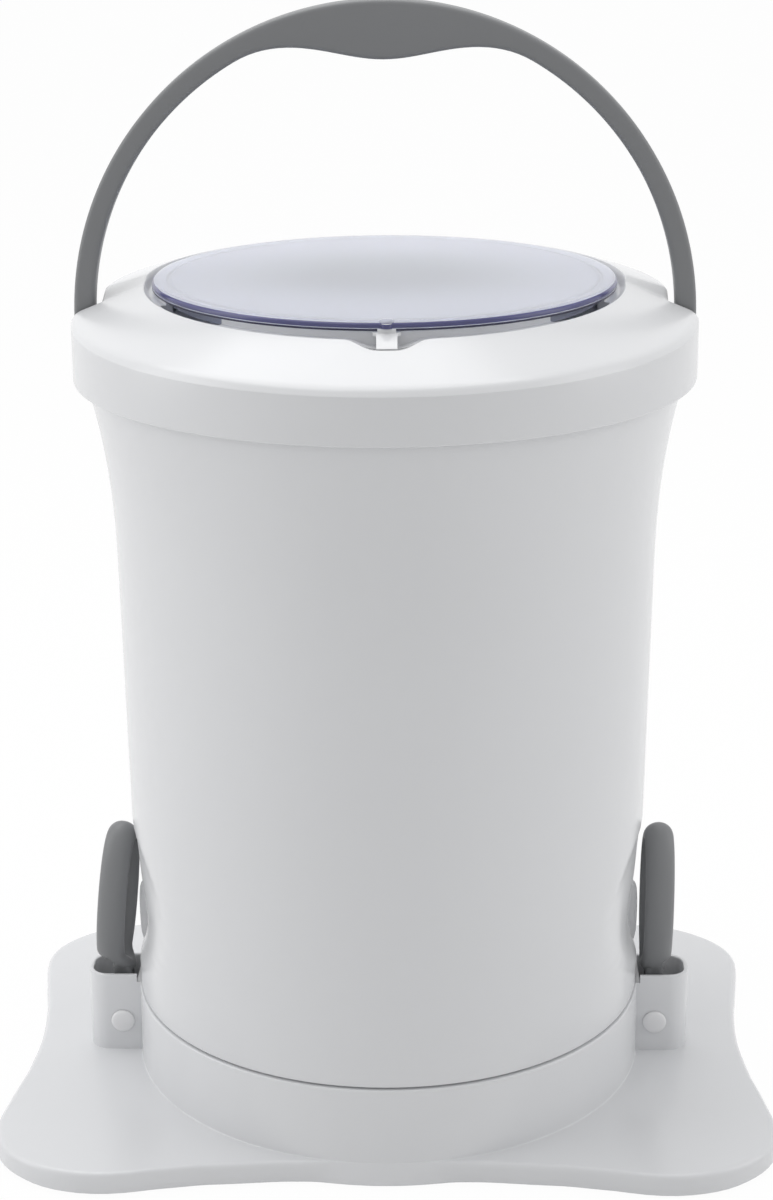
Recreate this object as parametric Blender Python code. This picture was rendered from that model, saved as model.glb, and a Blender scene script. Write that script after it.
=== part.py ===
"""Manual spin dryer. A tub is pumped up and down on a twisted screw, whose nut spins the basket in it.

Metres, +Z up, with the front facing -Y. The origin is on the floor, on the axis of tub, nut and basket.
"""

import math

import bmesh
import bpy
from mathutils import Matrix, Vector

TURN = 2 * math.pi
QUARTER = TURN / 4

# Fits that every piece shares
SEAT_GAP = 0.0003
RUNNING_GAP = 0.0004
OVERRUN = 0.002
WELD_DEPTH = 0.0005

# How finely round forms are divided
SCREW_HEAD_SIDES = 8
FEW_SIDES = 12
SMALL_SIDES = 16
BODY_SIDES = 32
SHARP_ANGLE = math.radians(32)

# Foot plate
PLATE_HALF_LENGTH = 0.183
PLATE_HALF_WIDTH = 0.1332
PLATE_TOP = 0.012
PLATE_WALL = 0.0025
PLATE_RIM_BOTTOM = 0.0016
PLATE_EDGE_ROUND = 0.005
PLATE_EDGE_STEPS = 2
PLATE_OUTLINE_SHARES = (
    (0.951, 0.0),
    (0.964, 0.285),
    (0.99, 0.52),
    (1.0, 0.66),
    (0.979, 0.78),
    (0.93, 0.875),
    (0.86, 0.945),
    (0.775, 0.988),
    (0.68, 0.996),
    (0.56, 0.963),
    (0.33, 0.92),
    (0.0, 0.908),
)
RIB_THICKNESS = 0.002
RIB_DROP = 0.0052
RIB_START_RADIUS = 0.046
FOOT_RADIUS = 0.011
FOOT_HEIGHT = 0.003
FOOT_PLACE_SHARES = (0.86, 0.78)
FOOT_BOSS_RADIUS = 0.009

# Collar, which is one moulding with the plate
COLLAR_STEP = 0.0006
COLLAR_WALL = 0.003
COLLAR_TOP = 0.0489
COLLAR_FOOT_FLARE = 0.003
COLLAR_FOOT_HEIGHT = 0.006
GUIDE_LIP_WALL = 0.0023
GUIDE_GAP = 0.0010
GUIDE_LIP_RISE = 0.006
GUIDE_LIP_DROP = 0.008

# Latch pockets, on the left and the right of the collar
POCKET_HALF_WIDTH = 0.0128
POCKET_DEPTH = 0.0255
POCKET_WALL = 0.0022
POCKET_TOP = 0.0522
POCKET_CORNER = 0.008
POCKET_CORNER_STEPS = 3
LATCH_PIN_OFFSET = 0.0087
LATCH_PIN_Z = 0.0275
LATCH_PIN_RADIUS = 0.0027
LATCH_PIN_HEAD_RADIUS = 0.00575
LATCH_PIN_HEAD_HEIGHT = 0.0018

# Latch rings
LATCH_RING_OFFSET = 0.0081
LATCH_RING_HALF_WIDTH = 0.0102
LATCH_RING_HALF_HEIGHT = 0.0338
LATCH_RING_CENTRE_Z = 0.0895
LATCH_RING_THICKNESS_X = 0.0154
LATCH_RING_THICKNESS_RADIAL = 0.0066
LATCH_RING_END_THICKNESS = 0.0094
LATCH_RING_FULLNESS = 2.1
LATCH_THROAT_SHARE = 0.62
LATCH_THROAT_Z = 0.0570
LATCH_THROAT_RISE = 0.005
LATCH_RING_STEPS = 20
LATCH_SECTION_SIDES = 8
LATCH_TANG_THICKNESS = 0.0086
LATCH_TANG_HALF_WIDTH = 0.0072
LATCH_BARREL_RADIUS = 0.0065
LATCH_LEFT_LEAN = math.radians(0.45)

# Outer tub
TUB_WALL = 0.0025
TUB_DRAFT = 0.005
TUB_TOP = 0.362
TUB_FLARE_LENGTH = 0.091
TUB_FLARE_GAIN = 0.0099
TUB_FLARE_POWER = 2.4
TUB_FLOOR_TOP = 0.161
TUB_FLOOR_CORNER = 0.005
SLEEVE_WALL = 0.0025
SLEEVE_BOTTOM = 0.030
NUT_CUP_RADIUS = 0.020
NUT_CUP_FLOOR = 0.158
NUT_CUP_TOP = 0.176
NUT_CUP_HOLE_RADIUS = 0.011

# Finger recess behind each latch ring, and the lug in it
DENT_HALF_ANGLE = math.radians(34)
DENT_SHALLOW_DEPTH = 0.0018
DENT_SHALLOW_CENTRE = 0.099
DENT_SHALLOW_HALF_HEIGHT = 0.042
DENT_DEEP_DEPTH = 0.0066
DENT_DEEP_CENTRE = 0.070
DENT_DEEP_BELOW = 0.0105
DENT_DEEP_ABOVE = 0.0195
DENT_STEP_COUNT = 4
DENT_LEVEL_SHARES = (0, 0.07, 0.14, 0.23, 0.36, 0.60, 1)
TUB_WIDE_COLUMNS = 8
TUB_FLARE_STEPS = 4
LUG_HALF_THICKNESS = 0.003
LUG_SET_IN = 0.0005
LUG_BOTTOM = 0.060
LUG_TOP = 0.101
LUG_ROOT_DEPTH = 0.0075

# Drain in the back of the tub
DRAIN_HEIGHT = 0.172
DRAIN_RADIUS = 0.007
DRAIN_FLANGE_RADIUS = 0.0105
DRAIN_FLANGE_THICKNESS = 0.002
DRAIN_TAB_LENGTH = 0.006
DRAIN_TAB_RADIUS = 0.004

# Top ring
RING_RADIUS = 0.1425
RING_WALL = 0.0026
RING_LAP = 0.009
RING_LIP_DEPTH = 0.0045
RING_TUB_GAP = 0.0012
RING_SKIRT_HEIGHT = 0.0252
RING_SHOULDER = 0.0035
RING_SHOULDER_RISE = 0.0042
RING_SLOPE_SHARE = 0.40
RING_TILT_SHARE = 0.0317
RING_UPSTAND_WALL = 0.003
RING_UPSTAND_RISE = 0.0133
RING_RECESS_DEPTH = 0.0041
RING_SEAT_WIDTH = 0.007
RING_NECK_WIDTH = 0.022
RING_NECK_RISE = 0.0035
RING_NECK_SLOPE_SHARE = 0.31
RING_NECK_EDGE = 0.002
RING_GRIP_BAY_DEPTH = 0.0089
RING_GRIP_BAY_HALF_LENGTH = 0.052
RING_SHELF_RISE = 0.004
RING_STEP_BACK = 0.0068
RING_NOTCH_HALF_WIDTH = 0.0135
RING_NOTCH_DEPTH = 0.0045
FINGER_GAP_HALF_ANGLE = math.radians(9)
FINGER_GAP_AZIMUTH = math.radians(50)

RING_REAR_COLUMNS = 16
RING_FRONT_COLUMNS = 12

# Lid
LID_RIM_GAP = 0.0016
LID_HEIGHT = 0.0039
LID_CROWN = 0.0008
LID_WALL = 0.0022
LID_EDGE = 0.0015
LID_SKIRT_GAP = 0.0012
LID_SKIRT_WALL = 0.0018
LID_SKIRT_DROP = 0.0045
LID_KNOB_RADIUS = 0.003
LID_KNOB_HEIGHT = 0.003
CLIP_HALF_WIDTH = 0.0045
CLIP_ARM_HALF_WIDTH = 0.0085
CLIP_THICKNESS = 0.0016
CLIP_NOTCH_GAP = 0.003

# Carrying handle
HANDLE_SET_IN = 0.001
HANDLE_NECK_GAP = 0.0014
HANDLE_THICKNESS = 0.0111
HANDLE_DEPTH = 0.012
HANDLE_SHELF_GAP = 0.0005
HANDLE_GRIP_GAIN = 0.015
HANDLE_GRIP_HALF_LENGTH = 0.068
HANDLE_EDGE = 0.0025
HANDLE_STEPS = 22
HANDLE_PIN_RADIUS = 0.0024
HANDLE_PIN_HEAD_RADIUS = 0.004
HANDLE_PIN_HEAD_HEIGHT = 0.0016
HANDLE_PIN_COVER = 0.004
HANDLE_PIN_END_GAP = 0.001

# Guide column and its fasteners
COLUMN_RADIUS = 0.026
COLUMN_WALL = 0.0025
COLUMN_TOP = 0.150
COLUMN_FLANGE_RADIUS = 0.040
COLUMN_FLANGE_THICKNESS = 0.003
COLUMN_SCREW_CIRCLE = 0.0335
COLUMN_SCREW_RADIUS = 0.002
COLUMN_SCREW_HEAD_RADIUS = 0.004
COLUMN_SCREW_HEAD_HEIGHT = 0.0022
COLUMN_SCREW_COUNT = 4
BUSH_WALL = 0.0024
BUSH_HEIGHT = 0.008

# Twisted drive screw
SCREW_LEAD = 0.090
SCREW_WIDTH = 0.014
SCREW_THICKNESS = 0.005
SCREW_CHAMFER = 0.001
SCREW_TWIST_BOTTOM = 0.0185
SCREW_TWIST_TOP = 0.252
SCREW_STEPS = 28
SCREW_FLANGE_RADIUS = 0.014
SCREW_STUB_RADIUS = 0.005
SCREW_STUB_BOTTOM = 0.004
SCREW_SIDES = 8
ANCHOR_NUT_RADIUS = 0.009
ANCHOR_NUT_HEIGHT = 0.0045
STOP_STUB_RADIUS = 0.004
STOP_STUB_LENGTH = 0.0075
STOP_RADIUS = 0.009
STOP_THICKNESS = 0.0025
STOP_NUT_RADIUS = 0.0068
STOP_NUT_HEIGHT = 0.004

# Drive nut and clutch
NUT_WASHER_THICKNESS = 0.0013
NUT_FLANGE_RADIUS = 0.018
NUT_FLANGE_HEIGHT = 0.003
NUT_BODY_RADIUS = 0.0135
NUT_TOOTH_FOOT_Z = 0.1695
NUT_SLOT_GAP = 0.0006
NUT_SLOT_STEPS = 5
TOOTH_HEIGHT = 0.0022
TOOTH_COUNT = 6
TOOTH_STEPS = 3
TOOTH_INNER_RADIUS = 0.0098
CLUTCH_GAP = 0.001
RETAINER_THICKNESS = 0.002
CROWN_FLANGE_RADIUS = 0.0192
CROWN_FLANGE_HEIGHT = 0.002

# Basket bearing
THRUST_WASHER_RADIUS = 0.034
THRUST_WASHER_THICKNESS = 0.0016
BEARING_WALL = 0.0028
BEARING_HEIGHT = 0.0125

# Basket
HUB_WALL = 0.0025
HUB_TOP = 0.1805
HUB_CEILING = 0.0025
HUB_FLANGE_RADIUS = 0.047
HUB_FLANGE_THICKNESS = 0.002
BASKET_WALL = 0.0022
BASKET_FLOOR_WALL = 0.0025
BASKET_FLOOR_HOLE = 0.0305
BASKET_TUB_GAP = 0.0119
BASKET_FLARE = 0.003
BASKET_CORNER = 0.007
BASKET_RING_GAP = 0.008
BASKET_RIM_HEIGHT = 0.006
BASKET_RIM_REACH = 0.0028
BASKET_SLOT_COUNT = 14
BASKET_SLOT_HALF_ANGLE = math.radians(1.6)
BASKET_SLOT_ROWS = 3
BASKET_SLOT_FIRST_Z = 0.182
BASKET_SLOT_HEIGHT = 0.050
BASKET_BAND_HEIGHT = 0.012
BASKET_DRAIN_START = 0.076
BASKET_DRAIN_INSET = 0.011
CONE_FOOT_RADIUS = 0.0445
CONE_SHOULDER_RADIUS = 0.0335
CONE_SHOULDER_Z = 0.182
CONE_TOP_RADIUS = 0.0158
CONE_TOP = 0.2655
CONE_WALL = 0.0024
CONE_WAIST_SHARE = 0.30
CONE_STEPS = 4
CAP_RADIUS = 0.0158
CAP_HEIGHT = 0.0065
CAP_PLUG_DEPTH = 0.003
HUB_SCREW_CIRCLE = 0.0403
HUB_SCREW_RADIUS = 0.0016
HUB_SCREW_HEAD_RADIUS = 0.0030
HUB_SCREW_HEAD_HEIGHT = 0.0018
HUB_SCREW_COUNT = 3

# Levels and radii that follow from the sizes above
PLATE_UNDER = PLATE_TOP - PLATE_WALL
TUB_REST = COLLAR_TOP + SEAT_GAP
RING_BOTTOM = TUB_TOP - RING_LAP
TUB_FLARE_END = RING_BOTTOM
TUB_FLARE_START = TUB_FLARE_END - TUB_FLARE_LENGTH
TUB_FLARE_RADIUS = RING_RADIUS - RING_LIP_DEPTH - RING_TUB_GAP
TUB_DRAFT_SHARE = TUB_DRAFT / (TUB_FLARE_END - TUB_REST)
TUB_BOTTOM_RADIUS = TUB_FLARE_RADIUS - TUB_FLARE_GAIN - TUB_DRAFT
COLLAR_RADIUS = TUB_BOTTOM_RADIUS + COLLAR_STEP
POCKET_REACH = COLLAR_RADIUS + POCKET_DEPTH
LATCH_PIN_X = COLLAR_RADIUS + LATCH_PIN_OFFSET
LATCH_RING_X = COLLAR_RADIUS + LATCH_RING_OFFSET
LUG_REACH = TUB_BOTTOM_RADIUS - LUG_SET_IN
BASKET_BOTTOM_RADIUS = TUB_BOTTOM_RADIUS - BASKET_TUB_GAP
BASKET_TOP_RADIUS = BASKET_BOTTOM_RADIUS + BASKET_FLARE
BASKET_DRAIN_END = BASKET_BOTTOM_RADIUS - BASKET_DRAIN_INSET
RING_EDGE_Z = RING_BOTTOM + RING_SKIRT_HEIGHT
RING_SHELF_Z = TUB_TOP + RING_SHELF_RISE
HANDLE_RADIUS = RING_RADIUS - HANDLE_SET_IN
HANDLE_MIDDLE = HANDLE_RADIUS - HANDLE_THICKNESS / 2
HANDLE_PIVOT_Z = RING_SHELF_Z + HANDLE_DEPTH / 2 + HANDLE_SHELF_GAP
HANDLE_ARC_Z = HANDLE_PIVOT_Z + HANDLE_DEPTH / 2
RING_NECK_RADIUS = HANDLE_RADIUS - HANDLE_THICKNESS - HANDLE_NECK_GAP
RING_RECESS_RADIUS = RING_NECK_RADIUS - RING_NECK_WIDTH
RING_OPENING_RADIUS = RING_RECESS_RADIUS - RING_SEAT_WIDTH
RING_OPENING_DROP = RING_SHELF_Z + RING_SHOULDER * 4
RING_UPSTAND_TOP = RING_OPENING_DROP + RING_UPSTAND_RISE
RING_RECESS_Z = RING_UPSTAND_TOP - RING_RECESS_DEPTH
RING_NECK_TOP = RING_UPSTAND_TOP + RING_NECK_RISE
LID_RADIUS = RING_RECESS_RADIUS - LID_RIM_GAP
LID_RIM_Z = RING_UPSTAND_TOP + SEAT_GAP
LID_TOP = LID_RIM_Z + LID_HEIGHT
CLIP_REACH = RING_RECESS_RADIUS + RING_NOTCH_DEPTH - CLIP_NOTCH_GAP
HANDLE_PIN_HEAD_SEAT = RING_NECK_RADIUS - RING_WALL - RING_WALL / 3 - SEAT_GAP
HANDLE_PIN_END = HANDLE_RADIUS - HANDLE_PIN_COVER
HANDLE_BORE_END = HANDLE_PIN_END + HANDLE_PIN_END_GAP
BASKET_TOP = RING_OPENING_DROP - BASKET_RING_GAP
SLEEVE_RADIUS = COLUMN_RADIUS + BUSH_WALL + 2 * SEAT_GAP
COLUMN_FOOT = PLATE_TOP + SEAT_GAP
NUT_WASHER_Z = NUT_CUP_FLOOR + SEAT_GAP
NUT_Z = NUT_WASHER_Z + NUT_WASHER_THICKNESS + SEAT_GAP
RETAINER_Z = NUT_Z + NUT_FLANGE_HEIGHT + SEAT_GAP
THRUST_Z = TUB_FLOOR_TOP + SEAT_GAP
HUB_BOTTOM = THRUST_Z + THRUST_WASHER_THICKNESS + SEAT_GAP
CUP_OUTER_RADIUS = NUT_CUP_RADIUS + TUB_WALL
BEARING_INNER = CUP_OUTER_RADIUS + SEAT_GAP
HUB_RADIUS = BEARING_INNER + BEARING_WALL + 3 * RUNNING_GAP
CROWN_TOP = HUB_TOP - HUB_CEILING - SEAT_GAP
CROWN_TOOTH_TIP = NUT_TOOTH_FOOT_Z + TOOTH_HEIGHT + CLUTCH_GAP
BASKET_FLOOR_Z = HUB_BOTTOM + HUB_FLANGE_THICKNESS + SEAT_GAP
BASKET_FLOOR_TOP = BASKET_FLOOR_Z + BASKET_FLOOR_WALL


def clear_scene():
    for item in list(bpy.data.objects):
        bpy.data.objects.remove(item, do_unlink=True)


# Materials

def finish(name, colour, roughness, metallic=0.0, transmission=0.0):
    """A Principled material with one plain colour."""
    material = bpy.data.materials.new(name)
    material.use_nodes = True
    shader = material.node_tree.nodes["Principled BSDF"]
    shader.inputs["Base Color"].default_value = (*colour, 1.0)
    shader.inputs["Roughness"].default_value = roughness
    shader.inputs["Metallic"].default_value = metallic
    shader.inputs["Transmission Weight"].default_value = transmission
    material.diffuse_color = (*colour, 1.0)
    return material


def finishes():
    return {
        "body": finish("white_body_plastic", (0.60, 0.61, 0.63), 0.32),
        "grey": finish("grey_handle_plastic", (0.16, 0.16, 0.165), 0.45),
        "lid": finish("clear_blue_lid", (0.62, 0.66, 0.85), 0.05, transmission=0.85),
        "acetal": finish("white_slide_plastic", (0.78, 0.78, 0.76), 0.40),
        "steel": finish("bright_steel", (0.62, 0.62, 0.63), 0.25, metallic=1.0),
        "rubber": finish("dark_rubber", (0.035, 0.035, 0.038), 0.80),
    }


# Mesh helpers

def mesh_object(name, points, faces, material, body=None):
    """Makes one object of world points. On a body, its origin is the body's joint."""
    origin = body.location if body else Vector()
    mesh = bpy.data.meshes.new(name)
    mesh.from_pydata([Vector(point) - origin for point in points], [], faces)
    shell = bmesh.new()
    shell.from_mesh(mesh)
    bmesh.ops.recalc_face_normals(shell, faces=shell.faces)
    shell.to_mesh(mesh)
    shell.free()
    if material:
        mesh.materials.append(material)
    mesh.shade_smooth()
    mesh.set_sharp_from_angle(angle=SHARP_ANGLE)
    made = bpy.data.objects.new(name, mesh)
    bpy.context.scene.collection.objects.link(made)
    if body:
        made.parent = body
    return made


def body_empty(name, place=(0, 0, 0), parent=None):
    """An empty on a joint's axis, which carries the pieces that move together."""
    holder = bpy.data.objects.new(name, None)
    bpy.context.scene.collection.objects.link(holder)
    holder.location = place
    if parent:
        holder.parent = parent
        holder.matrix_parent_inverse = Matrix.Translation(parent.location).inverted()
    return holder


def boolean(target, tool, operation):
    """Cuts or joins with a hidden tool."""
    tool.hide_render = True
    tool.display_type = "WIRE"
    change = target.modifiers.new(tool.name, "BOOLEAN")
    change.operation = operation
    change.object = tool
    change.solver = "EXACT"


def band(first, second):
    """Quads between two rings of point numbers, or triangles where one ring is a single point."""
    count = max(len(first), len(second))
    faces = []
    for i in range(count):
        j = (i + 1) % count
        if len(first) == 1:
            faces.append((first[0], second[j], second[i]))
        elif len(second) == 1:
            faces.append((first[i], first[j], second[0]))
        else:
            faces.append((first[i], first[j], second[j], second[i]))
    return faces


def rings_to_faces(rings, closed):
    """Numbers the points of some rings and joins each ring to the next."""
    points, numbers = [], []
    for ring in rings:
        numbers.append(list(range(len(points), len(points) + len(ring))))
        points.extend(ring)
    faces = []
    for first, second in zip(numbers, numbers[1:]):
        faces += band(first, second)
    if closed:
        faces += band(numbers[-1], numbers[0])
    else:
        faces += [tuple(ring) for ring in (numbers[0], numbers[-1]) if len(ring) > 2]
    return points, faces


def azimuths_of(sides):
    return [TURN * i / sides for i in range(sides)]


def turned(name, profile, material, body=None, azimuths=None, place=None, shape=None):
    """Revolves a profile of (radius, height) about Z. It is a loop, or it starts and ends on the axis."""
    azimuths = azimuths or azimuths_of(SMALL_SIDES)
    place = place or Matrix()
    rings = []
    for index, (radius, height) in enumerate(profile):
        if radius == 0:
            rings.append([place @ Vector((0, 0, height))])
            continue
        ring = []
        for azimuth in azimuths:
            r, z = shape(index, radius, height, azimuth) if shape else (radius, height)
            ring.append(place @ Vector((r * math.cos(azimuth), r * math.sin(azimuth), z)))
        rings.append(ring)
    points, faces = rings_to_faces(rings, closed=profile[0][0] != 0)
    return mesh_object(name, points, faces, material, body)


def lofted(name, sections, material, body=None, closed=False):
    """Joins sections of equal point count into one solid, with flat ends unless it closes on itself."""
    points, faces = rings_to_faces(sections, closed)
    return mesh_object(name, points, faces, material, body)


def around(radius, sides):
    """The corner radius of a polygon whose flats stay outside a round of this radius."""
    return radius / math.cos(TURN / 2 / sides)


def washer(name, inner, outer, bottom, height, material, body, sides=SMALL_SIDES):
    """A flat ring. Its bore is widened so that its flats clear the round piece in it."""
    top = bottom + height
    bore = around(inner, sides)
    profile = [(outer, bottom), (outer, top), (bore, top), (bore, bottom)]
    return turned(name, profile, material, body, azimuths_of(sides))


def rod(name, radius, start, length, direction, material=None, body=None, sides=SMALL_SIDES):
    """A plain cylinder from a point along a direction."""
    profile = [(0, 0), (radius, 0), (radius, length), (0, length)]
    turn = Vector(direction).to_track_quat("Z", "Y").to_matrix().to_4x4()
    place = Matrix.Translation(start) @ turn
    return turned(name, profile, material, body, azimuths_of(sides), place)


def block(name, low, high, material=None, body=None):
    """A box between two corners."""
    sections = []
    for z in (low[2], high[2]):
        corners = ((low[0], low[1]), (high[0], low[1]), (high[0], high[1]), (low[0], high[1]))
        sections.append([(x, y, z) for x, y in corners])
    return lofted(name, sections, material, body)


# Foot plate, collar and pockets

def plate_outline():
    """The four-lobed outline, from one quarter of it."""
    quarter = [(x * PLATE_HALF_LENGTH, y * PLATE_HALF_WIDTH) for x, y in PLATE_OUTLINE_SHARES]
    upper = quarter + [(-x, y) for x, y in reversed(quarter[:-1])]
    lower = [(x, -y) for x, y in reversed(upper[1:-1])]
    return [Vector(point) for point in upper + lower]


def inset(outline, distance):
    """The outline drawn in along its own normals."""
    count = len(outline)
    drawn = []
    for i, point in enumerate(outline):
        along = (outline[(i + 1) % count] - outline[i - 1]).normalized()
        drawn.append(point + Vector((-along.y, along.x)) * distance)
    return drawn


def plate_shell(material, body):
    """A shallow tray, open below, with a rounded upper edge."""
    outline = plate_outline()
    outer = []
    for step in range(PLATE_EDGE_STEPS + 1):
        angle = QUARTER * step / PLATE_EDGE_STEPS
        drop = PLATE_EDGE_ROUND * (1 - math.sin(angle))
        outer.append((PLATE_EDGE_ROUND * (1 - math.cos(angle)), PLATE_TOP - drop))
    under = PLATE_EDGE_ROUND - PLATE_WALL
    inner = [
        (PLATE_WALL, PLATE_RIM_BOTTOM),
        (PLATE_WALL, PLATE_UNDER - under / 2),
        (PLATE_WALL + under, PLATE_UNDER),
    ]
    sections = []
    for distance, height in list(reversed(outer)) + [(0, PLATE_RIM_BOTTOM)] + inner:
        sections.append([(p.x, p.y, height) for p in inset(outline, distance)])
    return lofted("base_plate", sections, material, body)


def collar(body):
    """The collar's wall, with a flared foot below and a lip that guides the tub."""
    inside = COLLAR_RADIUS - COLLAR_WALL
    lip = tub_radius(TUB_REST) - TUB_WALL - GUIDE_GAP
    foot = COLLAR_RADIUS + COLLAR_FOOT_FLARE
    bottom = PLATE_RIM_BOTTOM + WELD_DEPTH
    profile = [
        (foot, bottom),
        (foot, COLLAR_FOOT_HEIGHT),
        (COLLAR_RADIUS, COLLAR_FOOT_HEIGHT * 2 + COLLAR_FOOT_FLARE),
        (COLLAR_RADIUS, COLLAR_TOP),
        (lip, COLLAR_TOP),
        (lip, COLLAR_TOP + GUIDE_LIP_RISE),
        (lip - GUIDE_LIP_WALL, COLLAR_TOP + GUIDE_LIP_RISE),
        (lip - GUIDE_LIP_WALL, COLLAR_TOP - GUIDE_LIP_DROP),
        (inside, COLLAR_TOP - GUIDE_LIP_DROP - COLLAR_WALL),
        (inside, bottom),
    ]
    return turned("collar_wall", profile, None, None, azimuths_of(BODY_SIDES))


def pocket_outline(side, start, margin):
    """A U in plan: straight sides from the collar, and a rounded outer end."""
    half = POCKET_HALF_WIDTH - margin
    reach = POCKET_REACH - margin
    radius = POCKET_CORNER - margin
    points = [(start, half), (start, -half)]
    for corner in (-1, 1):
        for step in range(POCKET_CORNER_STEPS + 1):
            angle = QUARTER * step / POCKET_CORNER_STEPS
            turn = angle if corner > 0 else QUARTER - angle
            across = half - radius * (1 - math.sin(turn))
            points.append((reach - radius * (1 - math.cos(turn)), corner * across))
    return [(side * x, y) for x, y in points]


def pocket_prism(name, side, start, margin, bottom, top):
    outline = pocket_outline(side, start, margin)
    return lofted(name, [[(x, y, z) for x, y in outline] for z in (bottom, top)], None)


def foot_places():
    across, deep = FOOT_PLACE_SHARES
    for left_right, front_back in ((-1, -1), (1, -1), (-1, 1), (1, 1)):
        yield left_right * across * PLATE_HALF_LENGTH, front_back * deep * PLATE_HALF_WIDTH


def plate_ribs():
    """Ribs under the plate, from the middle to each foot and to the sides."""
    reaches = [(Vector(place).length, math.atan2(place[1], place[0])) for place in foot_places()]
    for azimuth in (0, 2 * QUARTER):
        reaches.append((PLATE_OUTLINE_SHARES[0][0] * PLATE_HALF_LENGTH - PLATE_WALL / 2, azimuth))
    for azimuth in (QUARTER, 3 * QUARTER):
        reaches.append((COLLAR_RADIUS - COLLAR_WALL / 2, azimuth))
    bottom = PLATE_UNDER - RIB_DROP
    top = PLATE_UNDER + WELD_DEPTH
    points, faces = [], []
    for reach, azimuth in reaches:
        along = Vector((math.cos(azimuth), math.sin(azimuth), 0))
        across = Vector((-along.y, along.x, 0)) * RIB_THICKNESS / 2
        rings = []
        for height in (bottom, top):
            lift = Vector((0, 0, height))
            rings.append([
                along * RIB_START_RADIUS + across + lift,
                along * RIB_START_RADIUS - across + lift,
                along * reach - across + lift,
                along * reach + across + lift,
            ])
        new_points, new_faces = rings_to_faces(rings, False)
        faces += [tuple(number + len(points) for number in face) for face in new_faces]
        points += new_points
    return mesh_object("plate_ribs", points, faces, None)


def screw_places(circle, count, start=QUARTER / 2):
    for index in range(count):
        azimuth = start + TURN * index / count
        yield circle * math.cos(azimuth), circle * math.sin(azimuth)


def base_plate(look, body):
    plate = plate_shell(look["body"], body)
    boolean(plate, collar(body), "UNION")
    for side, word in ((-1, "left"), (1, "right")):
        start = COLLAR_RADIUS - COLLAR_WALL / 2
        wall = pocket_prism(f"pocket_{word}", side, start, 0, PLATE_TOP - WELD_DEPTH, POCKET_TOP)
        clear = COLLAR_RADIUS + 3 * RUNNING_GAP
        ends = sorted((side * (start - POCKET_WALL), side * clear))
        notch = block(
            f"pocket_notch_{word}",
            (ends[0], -POCKET_HALF_WIDTH - OVERRUN, COLLAR_TOP - WELD_DEPTH),
            (ends[1], POCKET_HALF_WIDTH + OVERRUN, POCKET_TOP + OVERRUN),
        )
        boolean(wall, notch, "DIFFERENCE")
        boolean(plate, wall, "UNION")
        rim = POCKET_TOP + OVERRUN
        hollow = pocket_prism(f"pocket_hollow_{word}", side, clear, POCKET_WALL, PLATE_TOP, rim)
        boolean(plate, hollow, "DIFFERENCE")
        pin_hole = rod(
            f"pin_hole_{word}",
            LATCH_PIN_RADIUS + SEAT_GAP,
            (side * LATCH_PIN_X, -POCKET_HALF_WIDTH - OVERRUN, LATCH_PIN_Z),
            2 * (POCKET_HALF_WIDTH + OVERRUN),
            (0, 1, 0),
            sides=FEW_SIDES,
        )
        boolean(plate, pin_hole, "DIFFERENCE")
    boolean(plate, plate_ribs(), "UNION")
    ring_bottom = PLATE_UNDER - RIB_DROP - WELD_DEPTH
    ring_height_below = PLATE_UNDER + WELD_DEPTH - ring_bottom
    hub = washer("plate_hub_ring", RIB_START_RADIUS - RIB_THICKNESS, RIB_START_RADIUS + RIB_THICKNESS / 2,
                 ring_bottom, ring_height_below, None, None)
    boolean(plate, hub, "UNION")
    for number, (x, y) in enumerate(foot_places()):
        start = FOOT_HEIGHT + SEAT_GAP
        height = PLATE_UNDER + WELD_DEPTH - start
        boss = rod(f"foot_boss_{number}", FOOT_BOSS_RADIUS, (x, y, start), height, (0, 0, 1),
                   sides=FEW_SIDES)
        boolean(plate, boss, "UNION")
    hole_bottom = PLATE_UNDER - OVERRUN
    hole_depth = PLATE_WALL + 2 * OVERRUN
    anchor_hole = rod("anchor_hole", SCREW_STUB_RADIUS + SEAT_GAP, (0, 0, hole_bottom), hole_depth, (0, 0, 1))
    boolean(plate, anchor_hole, "DIFFERENCE")
    for number, (x, y) in enumerate(screw_places(COLUMN_SCREW_CIRCLE, COLUMN_SCREW_COUNT)):
        start = (x, y, hole_bottom)
        hole = rod(f"column_screw_hole_{number}", COLUMN_SCREW_RADIUS + SEAT_GAP, start, hole_depth, (0, 0, 1),
                   sides=SCREW_HEAD_SIDES)
        boolean(plate, hole, "DIFFERENCE")
    return plate


def foot_pads(look, body):
    words = ("front_left", "front_right", "back_left", "back_right")
    for word, (x, y) in zip(words, foot_places()):
        edge = FOOT_HEIGHT / 6
        profile = [
            (0, 0),
            (FOOT_RADIUS - edge, 0),
            (FOOT_RADIUS, edge),
            (FOOT_RADIUS, FOOT_HEIGHT - edge),
            (FOOT_RADIUS - edge, FOOT_HEIGHT),
            (0, FOOT_HEIGHT),
        ]
        place = Matrix.Translation((x, y, 0))
        turned(f"foot_pad_{word}", profile, look["rubber"], body, azimuths_of(FEW_SIDES), place)


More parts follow.
